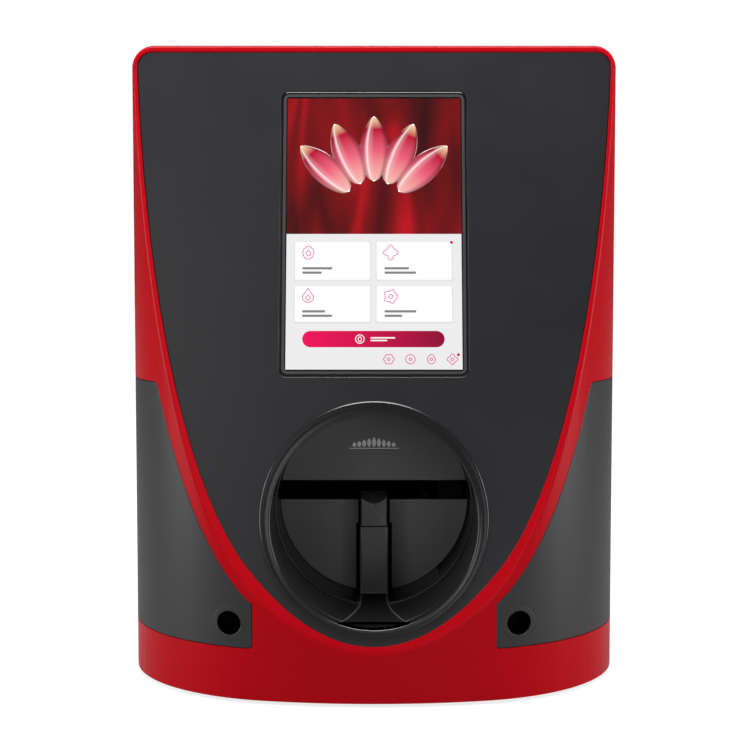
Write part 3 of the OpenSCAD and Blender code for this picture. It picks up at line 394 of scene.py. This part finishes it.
def rounded_tile(left, bottom, right, top, r, steps=8):
    """Outline of a tile: four quarter circles of radius r round its corners."""
    turn = np.linspace(0, math.pi / 2, steps)
    corners = [(right - r, top - r, 0), (left + r, top - r, 1), (left + r, bottom + r, 2), (right - r, bottom + r, 3)]
    return np.concatenate([
        np.stack([x + r * np.cos(turn + k * math.pi / 2), y + r * np.sin(turn + k * math.pi / 2)], -1)
        for x, y, k in corners
    ])


def line_of(path, width, closed=True):
    """Outlines of a drawn line: each short stretch of the path is a quad of the given width,
    offset to both sides along the path's normal."""
    ends = np.roll(path, -1, 0) if closed else path[1:]
    starts = path if closed else path[:-1]
    along = np.roll(path, -1, 0) - np.roll(path, 1, 0) if closed else np.gradient(path, axis=0)
    normal = np.stack([-along[:, 1], along[:, 0]], -1)
    normal *= width / 2 / np.linalg.norm(normal, axis=1, keepdims=True)
    after = np.roll(normal, -1, 0) if closed else normal[1:]
    before = normal if closed else normal[:-1]
    return list(np.stack([starts + before, starts - before, ends - after, ends + after], 1))


screen_mid = 0.2244
half_w, half_h = 0.0471, 0.07535


def at(u, v):
    """A point of the lit area from its shares across and down, in metres from its middle."""
    return np.array([(u - 0.5) * 2 * half_w, (0.5 - v) * 2 * half_h])


def tile(u0, v0, u1, v1, r):
    (left, top), (right, bottom) = at(u0, v0), at(u1, v1)
    return rounded_tile(left, bottom, right, top, r)


def lit(name, colour, strength=1.0):
    """Light from the display, seen through polished glass."""
    made = Finish(name, (0.004, 0.004, 0.004), 0.12, Emission_Strength=strength)
    made.feed("Emission Color", (*colour, 1.0))
    made.feed("Roughness", made.noise(0.02, 3.0) * 0.05 + 0.1)
    return made


glass = Finish("cover_glass", (0.004, 0.004, 0.005), 0.08, Coat_Weight=0.6, Coat_Roughness=0.04)
smudge = glass.noise(0.02, 4.0)
glass.feed("Roughness", smudge * 0.05 + 0.08)
eased("touch_glass", 0.0003, glass, crease=25.0)
tinplate = Finish("tinplate", (0.5, 0.51, 0.52), 0.35, 1.0)
tinplate.shade(tinplate.noise(0.004, 2.0), 0.85, 1.1)
tinplate.on("display_module")
floor_plastic.on("screen_frame")

glass_top = -0.0005
border = rounded_tile(-0.0493, -0.0778, 0.0493, 0.0778, 0.0032, 12)
inner_border = rounded_tile(-0.0478, -0.0763, 0.0478, 0.0763, 0.0017, 12)
count = len(border)
rings = [on_face(loop[:, 0], loop[:, 1] + screen_mid, out)
         for loop, out in ((border, glass_top), (border, glass_top + 3e-5),
                           (inner_border, glass_top + 3e-5), (inner_border, glass_top))]
step, base = np.arange(count), np.arange(4)[:, None] * count
quads = np.stack([base + step, base + (step + 1) % count,
                  (base + count) % (4 * count) + (step + 1) % count,
                  (base + count) % (4 * count) + step], -1).reshape(-1, 4)
printed = moulded("printed_border", (0.034, 0.034, 0.037), 0.4, 0.0006, 0.000005)
housed(meshed("glass_border", np.concatenate(rings), quads.tolist()), printed, "housing")

# The picture above: folds of dark red silk
silk = lit("silk_picture", (0.3, 0.0, 0.0))
fold = silk.node("TexNoise", {"Vector": silk.node("Mapping", {"Vector": silk.place, "Rotation": (0.0, 0.5, 0.0),
                 "Scale": (46.0, 20.0, 9.0)}), "Scale": 1.0, "Detail": 1.5, "Distortion": 0.6})
silk.feed("Emission Color", silk.node("ValToRGB", {0: fold}, stops=[
    (0.3, (0.035, 0.0, 0.001, 1)), (0.5, (0.2, 0.001, 0.003, 1)), (0.72, (0.62, 0.004, 0.012, 1))]))
housed(layer("screen_picture", [tile(0, 0, 1, 0.507, 1e-5)], glass_top), silk, "housing")

# The page below, with its tiles, the wide button and the marks on them
page = lit("page_light", (0.84, 0.84, 0.845))
housed(layer("screen_page", [tile(0, 0.507, 1, 1, 1e-5)], glass_top), page, "housing")
white = lit("tile_white", (1.0, 1.0, 1.0))
cards = [(0.05, 0.536, 0.477, 0.675), (0.515, 0.536, 0.943, 0.675),
         (0.05, 0.697, 0.477, 0.828), (0.515, 0.697, 0.943, 0.828)]
housed(layer("screen_tiles", [tile(*card, 0.0009) for card in cards], glass_top + 4e-5), white, "housing")
halo = lit("tile_shade", (0.76, 0.76, 0.77))
housed(layer("tile_shadows", [tile(u0 - 0.006, v0 - 0.002, u1 + 0.006, v1 + 0.006, 0.0013)
                              for u0, v0, u1, v1 in cards], glass_top + 2e-5), halo, "housing")
pill = lit("pill_magenta", (0.75, 0.0, 0.1))
across = pill.node("SeparateXYZ", {0: pill.place}, out="X")
pill.feed("Emission Color", pill.node("ValToRGB", {0: across * 11.0 + 0.5}, stops=[
    (0.08, (0.87, 0.0, 0.1, 1)), (0.9, (0.27, 0.0, 0.03, 1))]))
housed(layer("screen_button", [tile(0.094, 0.861, 0.9, 0.92, 0.00435)], glass_top + 4e-5), pill, "housing")
grey = lit("mark_grey", (0.22, 0.23, 0.24))
bars = [tile(u, v, u + w, v + 0.0085, 0.0004) for u, v, w in (
    (0.092, 0.629, 0.17), (0.092, 0.645, 0.11), (0.56, 0.629, 0.14), (0.56, 0.645, 0.18),
    (0.092, 0.786, 0.13), (0.092, 0.802, 0.17), (0.56, 0.786, 0.18), (0.56, 0.802, 0.1))]
housed(layer("tile_bars", bars, glass_top + 8e-5), grey, "housing")

turn = np.linspace(0, 2 * math.pi, 40, endpoint=False)
circle = np.stack([np.cos(turn), np.sin(turn)], -1)


def almond(half, length):
    """Outline of a nail tip: half width times sin(turn), drawn to a soft point above."""
    rise = -np.cos(turn)
    width = np.sin(turn) * np.where(rise > 0, 1 - 0.45 * rise ** 2, 1 - 0.1 * rise ** 2)
    return np.stack([half * width, length / 2 * rise], -1)


def lobed(r, lobes, depth):
    """Outline whose radius swells and shrinks by a cosine, `lobes` times a turn."""
    return circle * (r * (1 + depth * np.cos(lobes * turn)))[:, None]


def marked(*places):
    """Lines of several small drawings, each (outline, u, v), 0.45 mm wide."""
    return [quad for outline, u, v in places for quad in line_of(outline + at(u, v), 0.00045)]


drop = circle * 0.0023 * np.stack([np.ones(40), np.where(np.sin(turn) > 0, 1.5 - 0.5 * np.abs(np.cos(turn)), 1)], -1)
drop[:, 0] *= 1 - 0.55 * np.clip(np.sin(turn), 0, 1)
pink = lit("mark_pink", (0.78, 0.1, 0.26))
small = [(lobed(0.0026, 6, 0.12), 0.584), (circle * 0.0025, 0.706),
         (almond(0.0021, 0.0052), 0.824), (lobed(0.0024, 4, 0.2), 0.943)]
marks = marked((almond(0.003, 0.0074), 0.125, 0.575), (almond(0.0012, 0.003), 0.125, 0.578),
               (lobed(0.0033, 4, 0.22), 0.596, 0.575), (drop * 1.35, 0.125, 0.737), (circle * 0.0012, 0.125, 0.741),
               (lobed(0.0034, 5, 0.16), 0.596, 0.736), (circle * 0.0011, 0.596, 0.736),
               *((outline, u, 0.963) for outline, u in small),
               *((circle * 0.0007, u, 0.963) for _, u in small))
housed(layer("tile_marks", marks, glass_top + 8e-5), pink, "housing")
housed(layer("notice_dots", [circle * 0.0008 + at(0.943, 0.538), circle * 0.0008 + at(0.977, 0.947)],
             glass_top + 8e-5), lit("notice_red", (0.6, 0.0, 0.02)), "housing")
on_pill = marked((circle * 0.0023, 0.42, 0.8905), (almond(0.0009, 0.0026), 0.42, 0.8905))
on_pill += [tile(0.48, 0.8835, 0.62, 0.8885, 0.0003), tile(0.48, 0.893, 0.575, 0.898, 0.0003)]
housed(layer("button_marks", on_pill, glass_top + 8e-5), white, "housing")


def painted_nail(middle, angle, half, length, rows=28, columns=15):
    """One nail tip as a low dome: s runs across from -1 to 1 and t along from base to tip; the
    half width follows the almond's outline and the height falls off as 1 - s squared."""
    s, t = np.meshgrid(np.linspace(-1, 1, columns), np.linspace(0, 1, rows))
    rise = 2 * t - 1
    width = np.sqrt(np.clip(1 - rise ** 2, 0, 1)) * np.where(rise > 0, 1 - 0.45 * rise ** 2, 1 - 0.1 * rise ** 2)
    x, y = half * s * width, length / 2 * rise
    c, n = math.cos(angle), math.sin(angle)
    top = on_face(middle[0] + x * c - y * n, middle[1] + x * n + y * c + screen_mid,
                  glass_top + 6e-5 + 1.2e-4 * (1 - s ** 2) * width)
    return top, np.stack([s * 0.5 + 0.5, t], -1)


nail = lit("painted_nails", (0.7, 0.1, 0.15))
uv = nail.node("UVMap", uv_map="along")
s_across, t_along = (nail.node("SeparateXYZ", {0: uv}, out=axis) for axis in "XY")
blush = nail.node("ValToRGB", {0: t_along}, stops=[
    (0.0, (0.95, 0.52, 0.46, 1)), (0.45, (0.86, 0.12, 0.2, 1)),
    (0.8, (0.5, 0.0, 0.03, 1)), (1.0, (0.95, 0.72, 0.42, 1))])
shine = nail.node("ValToRGB", {0: s_across}, stops=[
    (0.16, (0, 0, 0, 1)), (0.27, (1, 1, 1, 1)), (0.31, (0.25, 0.25, 0.25, 1)), (0.5, (0, 0, 0, 1))])
edge = nail.node("ValToRGB", {0: s_across}, stops=[
    (0.0, (0.35, 0.35, 0.35, 1)), (0.22, (1, 1, 1, 1)), (0.8, (1, 1, 1, 1)), (1.0, (0.3, 0.3, 0.3, 1))])
shaded = nail.node("Mix", {0: 1.0, 6: blush, 7: edge}, out=2, data_type="RGBA", blend_type="MULTIPLY")
glossed = nail.node("Mix", {0: 0.75, 6: shaded, 7: shine}, out=2, data_type="RGBA", blend_type="SCREEN")
nail.feed("Emission Color", glossed)
points, faces, wraps = [], [], []
fan_foot, nail_half, nail_length = at(0.5, 0.435), 0.0078, 0.037
for place in range(5):
    swing = math.radians(46 - 23 * place)
    middle = fan_foot + nail_length * np.array([-math.sin(swing), math.cos(swing)])
    grid, wrap = painted_nail(middle, swing, nail_half, nail_length)
    rows, columns = grid.shape[:2]
    back = grid.copy()
    back[..., 1] += 1.6e-4
    first = sum(len(p) for p in points)
    index = first + np.arange(rows * columns).reshape(rows, columns)
    under = index + rows * columns
    points += [grid.reshape(-1, 3), back.reshape(-1, 3)]
    wraps += [wrap.reshape(-1, 2)] * 2
    faces += np.stack([index[:-1, :-1], index[:-1, 1:], index[1:, 1:], index[1:, :-1]], -1).reshape(-1, 4).tolist()
    faces += np.stack([under[:-1, :-1], under[1:, :-1], under[1:, 1:], under[:-1, 1:]], -1).reshape(-1, 4).tolist()
    verge = np.concatenate([index[0, :-1], index[:-1, -1], index[-1, :0:-1], index[:0:-1, 0]])
    verge_on = np.roll(verge, -1)
    faces += np.stack([verge_on, verge, verge + rows * columns, verge_on + rows * columns], -1).tolist()
nails = meshed("screen_nails", np.concatenate(points), faces)
wraps = np.concatenate(wraps)
corner = np.empty(len(nails.data.loops), dtype=np.int32)
nails.data.loops.foreach_get("vertex_index", corner)
nails.data.uv_layers.new(name="along").data.foreach_set("uv", wraps[corner].ravel())
nails.data.polygons.foreach_set("use_smooth", [True] * len(nails.data.polygons))
housed(nails, nail, "housing")


# ---- Finger port ----
# A satin-black ring clipped round a deep barrel; two moulded charcoal plates, held in the
# barrel's end, leave the slot for the fingertip between them.

barrel = moulded("barrel_black", (0.006, 0.006, 0.007), 0.32, 0.0007, 0.000006)
piece = eased("port_liner", 0.0003, barrel, segments=3, crease=20.0)
# Painted shade: the lip behind the plates, seen through the slot, gets a matt near-black finish so that it reads as
# dark as the shaded slot
lip_painted_shade = moulded("lip_painted_shade_finish", (0.001, 0.001, 0.001), 0.9, 0.0003, 0.00004, Specular_IOR_Level=0.02)
piece.data.materials.append(lip_painted_shade.material)
piece.data.polygons.foreach_set("material_index", [int(p.center.y > -0.0205) for p in piece.data.polygons])


def round_lip(radii, outs, behind, turns=256):
    """Ring whose section is carried round the port: at each angle a point lies its radius from
    the port's axis, whose height drifts up towards the rim, and its stand-off from the leaning
    face, less its depth behind it."""
    angle = np.linspace(0, 2 * math.pi, turns, endpoint=False)[:, None]
    lift = 0.0016 * np.clip((radii - 0.0544) / 0.0056, 0, 1)
    x = radii * np.cos(angle)
    z = port_z + lift + radii * np.sin(angle)
    y = sill[0] + (z - sill[1]) * math.tan(lean) - outs / math.cos(lean) + behind
    grid = np.stack([x, y, z], -1)
    rows, columns = grid.shape[:2]
    row, column = np.meshgrid(np.arange(rows), np.arange(columns), indexing="ij")
    after, beside = (row + 1) % rows, (column + 1) % columns
    faces = np.stack([row * columns + column, row * columns + beside,
                      after * columns + beside, after * columns + column], -1)
    piece = meshed("port_ring_lip", grid, faces.reshape(-1, 4).tolist())
    piece.data.polygons.foreach_set("use_smooth", [True] * (rows * columns))
    return piece


# Section: up the outer wall, over the convex rim, across the crowned band, down into the mouth
# and back behind the face
rim_turn = np.linspace(0, math.pi / 2, 7)
mouth_turn = np.linspace(math.pi / 2, math.pi, 7)
radii = np.concatenate([[0.06, 0.06], 0.0592 + 0.0008 * np.cos(rim_turn), [0.0586, 0.0578, 0.0566, 0.0558],
                        0.0552 + 0.0008 * np.cos(mouth_turn), [0.0544, 0.0544, 0.0571, 0.0571]])
outs = np.concatenate([[-0.0004, 0.0], 0.0004 + 0.0008 * np.sin(rim_turn), [0.0011, 0.0009, 0.0009, 0.0011],
                       0.0004 + 0.0008 * np.sin(mouth_turn), [-0.0004, -0.0004, -0.0004, -0.0004]])
behind = np.concatenate([np.zeros(2 + 7 + 4 + 7 + 1), [0.0074, 0.0074, 0.0]])
ring_satin = moulded("ring_satin", (0.007, 0.007, 0.0082), 0.24, 0.0012, 0.000005)
housed(round_lip(radii, outs, behind), ring_satin, "housing", "port_ring")

plate_satin = moulded("plate_satin", (0.16, 0.161, 0.171), 0.42, 0.0006, 0.000008, Specular_IOR_Level=0.3)
plate_satin.on("port_upper_plate", "port_lower_plate")


def on_plate(x, up, out):
    """Points on the upper plate's front: x across, up from the mark's middle, out along -Y."""
    return np.stack(np.broadcast_arrays(x, -0.021 - out, 0.1262 + up), -1)


# A plain ornament in white print: a row of nail tips over a fine line
tips = [almond(0.0011, h) + (x, h / 2 - 0.0022) for x, h in zip(
    np.linspace(-0.0112, 0.0112, 9), (0.0026, 0.0034, 0.0042, 0.005, 0.0056, 0.005, 0.0042, 0.0034, 0.0026))]
white_print = moulded("white_print", (0.92, 0.92, 0.92), 0.4, 0.0004, 0.000003)
housed(layer("plate_ornament", tips + [rounded_tile(-0.0142, -0.0032, 0.0142, -0.0028, 0.00015)], 0.0,
             place=on_plate), white_print, "housing")


# ---- Grip bar and finger rest ----
# The hand grips an upright charcoal bar that sweeps out over the barrel's floor; the saddle on
# top of it gives a little on its spring.

grip = moulded("grip_satin", (0.055, 0.055, 0.06), 0.3, 0.0006, 0.000006)
# The top of the bar's foot gets a matt near-black finish as painted shade, darker than the bar it is moulded with,
# between edges in the bar's own finish
foot_painted_shade = moulded("foot_painted_shade", (0.0035, 0.0035, 0.004), 0.55, 0.0006, 0.000006, Specular_IOR_Level=0.1)
# Path in millimetres of depth and height: down the bar's front, round a small sweep, and along
# the foot, which thins towards the mouth; facing is the way its skin looks
sweep = np.linspace(0, math.pi / 2, 9)
run = np.linspace(-46, -117.3, 36)
path_y = np.concatenate([[-40, -40, -40, -40], -41.5 + 1.5 * np.cos(sweep), run])
sink = np.clip((-92 - run) / 24, 0, 1)
path_z = np.concatenate([[81.0, 80.6, 70, 55], 44.1 - 1.5 * np.sin(sweep), 42.6 - 1.2 * sink ** 2 * (3 - 2 * sink)])
facing = np.concatenate([np.zeros(4), sweep, np.full(36, math.pi / 2)])
half = 7.94 + 9.2e-5 * np.clip(-40 - path_y, 0, None) ** 2.68
half[0] -= 0.5
deep = np.minimum(21, (path_z - 39.6) / np.maximum(np.sin(facing), 0.15))
deep[facing == 0] = 21
# Section: flat front, broken edges of 1.3 mm, side walls, back
step_in = np.array([1.34, 0.9, 0.45, 0.12, 0.0, 0.0])
drop = np.array([0.0, 0.1, 0.24, 0.42, 0.75, 1.0])
left = step_in - half[:, None]
fall = np.concatenate([np.repeat(drop[None, :5], len(half), 0), deep[:, None]], 1)
flat = left[:, :1] * np.array([0.96, 0.75, 0.5, 0.25, 0, -0.25, -0.5, -0.75, -0.96])
across = np.concatenate([left[:, ::-1], flat, -left], 1)
fall = np.concatenate([fall[:, ::-1], 0 * flat, fall], 1)
bend = np.clip(facing / (math.pi / 2), 0, 1)[:, None] * (51.3 - np.sqrt(51.3 ** 2 - across ** 2))
bar = np.stack([across, path_y[:, None] + fall * np.cos(facing)[:, None],
                path_z[:, None] - fall * np.sin(facing)[:, None] + bend], -1) / 1000
piece = housed(carried("grip_bar", bar), grip, "housing", "finger_handle")
piece.data.materials.append(foot_painted_shade.material)
# The foot's top faces, which take the painted shade
row, column = np.divmod(np.arange(bar.shape[1] * (len(bar) - 1)), bar.shape[1])
painted_shade_faces = (row > 6) & (column > 4) & (column < 15)
piece.data.polygons.foreach_set("material_index", np.append(painted_shade_faces, [False, True]).astype(np.int32))

# The rest's head: sections across, carried back along Y. Its top is hollowed for the finger in
# front and crowned behind: the dip falls from 2.9 mm to -0.9 mm
grip.on("finger_rest")
stations = np.array([-40.2, -40.1, -39.92, -39.65, -39.2, -36, -33, -30, -27, -24, -22, -20.5, -20.0, -19.7, -19.5])
inward = np.array([0.8, 0.45, 0.18, 0.03, 0, 0, 0, 0, 0, 0, 0, 0, 0.1, 0.3, 0.6])
dip = 2.9 - 3.8 * np.clip((stations + 40) / 20, 0, 1)
spread = np.linspace(-1, 1, 25)
wide = (7.36 - inward)[:, None]
top = 97.6 - dip[:, None] * (1 - spread ** 2) - 0.5 * inward[:, None]
x = np.concatenate([wide * spread, wide, -wide], 1)
z = np.concatenate([top, np.full((len(wide), 2), 81.8)], 1)
y = np.repeat(stations[:, None], x.shape[1], 1)
housed(carried("rest_head", np.stack([x, y, z], -1) / 1000), grip, "finger_rest")
steel = Finish("ground_steel", (0.55, 0.56, 0.58), 0.28, 1.0)
lay = steel.noise(0.0005, 3.0, (1, 1, 0.08))
steel.shade(lay, 0.85, 1.1)
steel.feed("Roughness", lay * 0.18 + 0.18)
steel.on("finger_rest_spring")


# ---- Print mechanism ----
# A folded steel frame, powder-coated black, carries ground rods, a belt and a lead screw; the
# inkjet carriage rides on them behind the slot.

coat = moulded("powder_black", (0.004, 0.004, 0.004), 0.6, 0.0004, 0.00003, Specular_IOR_Level=0.2)
coat.on("mech_frame", "mech_tray")
floor_plastic.on("capping_station", "gantry_left_block", "gantry_right_block")
steel.on("y_guide_rods", "y_lead_screw", "x_guide_rods", "x_motor_pulley", "x_idler_pulley", "idler_pin", "latch_pin")
motor_black = moulded("motor_black", (0.02, 0.02, 0.022), 0.4, 0.0008, 0.00001, metal=0.4)
motor_black.on("y_motor", "x_motor")
bronze = Finish("sintered_bronze", (0.5, 0.33, 0.13), 0.42, 1.0)
pores = bronze.noise(0.0004, 4.0)
bronze.shade(pores, 0.6, 1.1)
bronze.bump(pores, 0.00002)
bronze.on("lead_nut", "rod_bushings")
rubber.on("x_belt", "nozzle_wiper")
carriage_black = moulded("carriage_black", (0.014, 0.014, 0.015), 0.45, 0.0006, 0.00002)
carriage_black.on("print_carriage", "camera_module")
cartridge = moulded("cartridge_shell", (0.02, 0.02, 0.024), 0.3, 0.0008, 0.00001)
cartridge.on("ink_cartridge")
latch_blue = moulded("latch_blue", (0.02, 0.09, 0.3), 0.38, 0.0006, 0.00001)
latch_blue.on("cartridge_latch")


# ---- Boards, fan, speakers and sockets at the rear ----
# Bought parts screwed to the rear shell and the base plate, a hinged door of charcoal plastic
# and the power button in its guide.

mask = Finish("solder_mask", (0.006, 0.08, 0.035), 0.32, Coat_Weight=0.4)
tracks = mask.node("TexBrick", {"Vector": mask.place, "Scale": 320.0, "Mortar Size": 0.03}, out="Fac")
mask.shade(tracks, 0.8, 1.5)
mask.bump(tracks, 0.00003)
mask.on("main_board", "driver_board", "light_board")
floor_plastic.on("fan_housing", "fan_rotor", "speakers", "power_inlet")
steel.on("usb_port", "shell_screws", "door_hinge_pins")
eased("power_button", 0.0005, charcoal, "power_button", crease=30.0)
eased("rear_door", 0.0003, charcoal, "rear_door", crease=50.0)
floor_plastic.on("power_switch")
# A foam gasket behind the rear wall closes the clearance round the USB socket
gasket_out = rounded_tile(-0.0088, -0.0052, 0.0088, 0.0052, 0.001, 12)
gasket_in = rounded_tile(-0.00652, -0.00292, 0.00652, 0.00292, 0.0002, 12)
rings = [np.stack(np.broadcast_arrays(0.018 + loop[:, 0], depth, 0.03 + loop[:, 1]), -1)
         for loop, depth in ((gasket_out, 0.11695), (gasket_out, 0.1158), (gasket_in, 0.1158), (gasket_in, 0.11695))]
housed(meshed("usb_gasket", np.concatenate(rings), quads.tolist()), rubber, "housing")


# ---- Floor, light and camera ----
# A pale floor that runs on into the backdrop, soft panels at both sides and above with weak
# ones in front, and the photograph's viewpoint.


def flat_sheet(name, corners):
    mesh = bpy.data.meshes.new(name)
    mesh.from_pydata(corners, [], [tuple(range(len(corners)))])
    made = bpy.data.objects.new(name, mesh)
    bpy.context.scene.collection.objects.link(made)
    return made


ground = flat_sheet("ground", [(-6, -6, 0), (6, -6, 0), (6, 6, 0), (-6, 6, 0)])
pale = Finish("pale_ground", (0.2, 0.2, 0.2), 0.9, Emission_Strength=1.0)
paths = [pale.node("LightPath", out=f"Is {kind} Ray") for kind in ("Camera", "Glossy", "Transmission")]
seen = paths[0] + paths[1] * 0.2 + paths[2]
away = pale.node("VectorMath", {0: pale.place}, out="Value", operation="LENGTH")
lift = pale.node("MapRange", {"Value": away, "From Min": 0.15, "From Max": 1.2, "To Min": 0.8, "To Max": 1.0})
pale.feed("Emission Color", pale.mix(seen * lift, (0, 0, 0, 1), (1, 1, 1, 1)))
pale.on(ground)

scene = bpy.context.scene
world = bpy.data.worlds.new("studio")
scene.world = world
world.use_nodes = True
sky = world.node_tree
background = sky.nodes["Background"]
background.inputs["Color"].default_value = (1, 1, 1, 1)
path = sky.nodes.new("ShaderNodeLightPath")
strength = sky.nodes.new("ShaderNodeMix")
strength.inputs["A"].default_value = 0.1
strength.inputs["B"].default_value = 1.0
sky.links.new(path.outputs["Is Camera Ray"], strength.inputs["Factor"])
sky.links.new(strength.outputs["Result"], background.inputs["Strength"])


def softbox(name, place, target, size, power):
    """A rectangular area lamp at a place, looking at a target."""
    lamp = bpy.data.lights.new(name, "AREA")
    lamp.energy, lamp.shape, lamp.size, lamp.size_y = power, "RECTANGLE", *size
    made = bpy.data.objects.new(name, lamp)
    made.location = place
    made.rotation_euler = (Vector(target) - Vector(place)).to_track_quat("-Z", "Y").to_euler()
    scene.collection.objects.link(made)


softbox("left_panel", (-1.45, -0.25, 0.3), (0, 0, 0.16), (0.6, 1.2), 20)
softbox("right_panel", (1.45, -0.25, 0.3), (0, 0, 0.16), (0.6, 1.2), 21)
softbox("top_panel", (0, -0.2, 1.75), (0, 0, 0.3), (1.0, 1.0), 54)
softbox("front_panel", (0.55, -1.5, 0.22), (0, 0, 0.1), (0.7, 0.5), 1.8)
softbox("face_panel", (-0.5, -1.08, 0.62), (0, 0, 0.22), (0.6, 0.6), 1.6)
softbox("left_strip", (-0.6, -1.1, 0.22), (0, 0, 0.1), (0.12, 0.4), 0.4)
softbox("right_strip", (0.6, -1.1, 0.22), (0, 0, 0.1), (0.12, 0.4), 0.4)

lens = bpy.data.cameras.new("viewpoint")
lens.lens, lens.sensor_width = 80.21, 36.0
lens.clip_start = 0.05
viewpoint = bpy.data.objects.new("viewpoint", lens)
viewpoint.location = (0.00055, -0.968, 0.2353)
viewpoint.rotation_euler = (math.radians(85.76), 0, 0)
scene.collection.objects.link(viewpoint)
scene.camera = viewpoint
scene.view_settings.view_transform = "Standard"
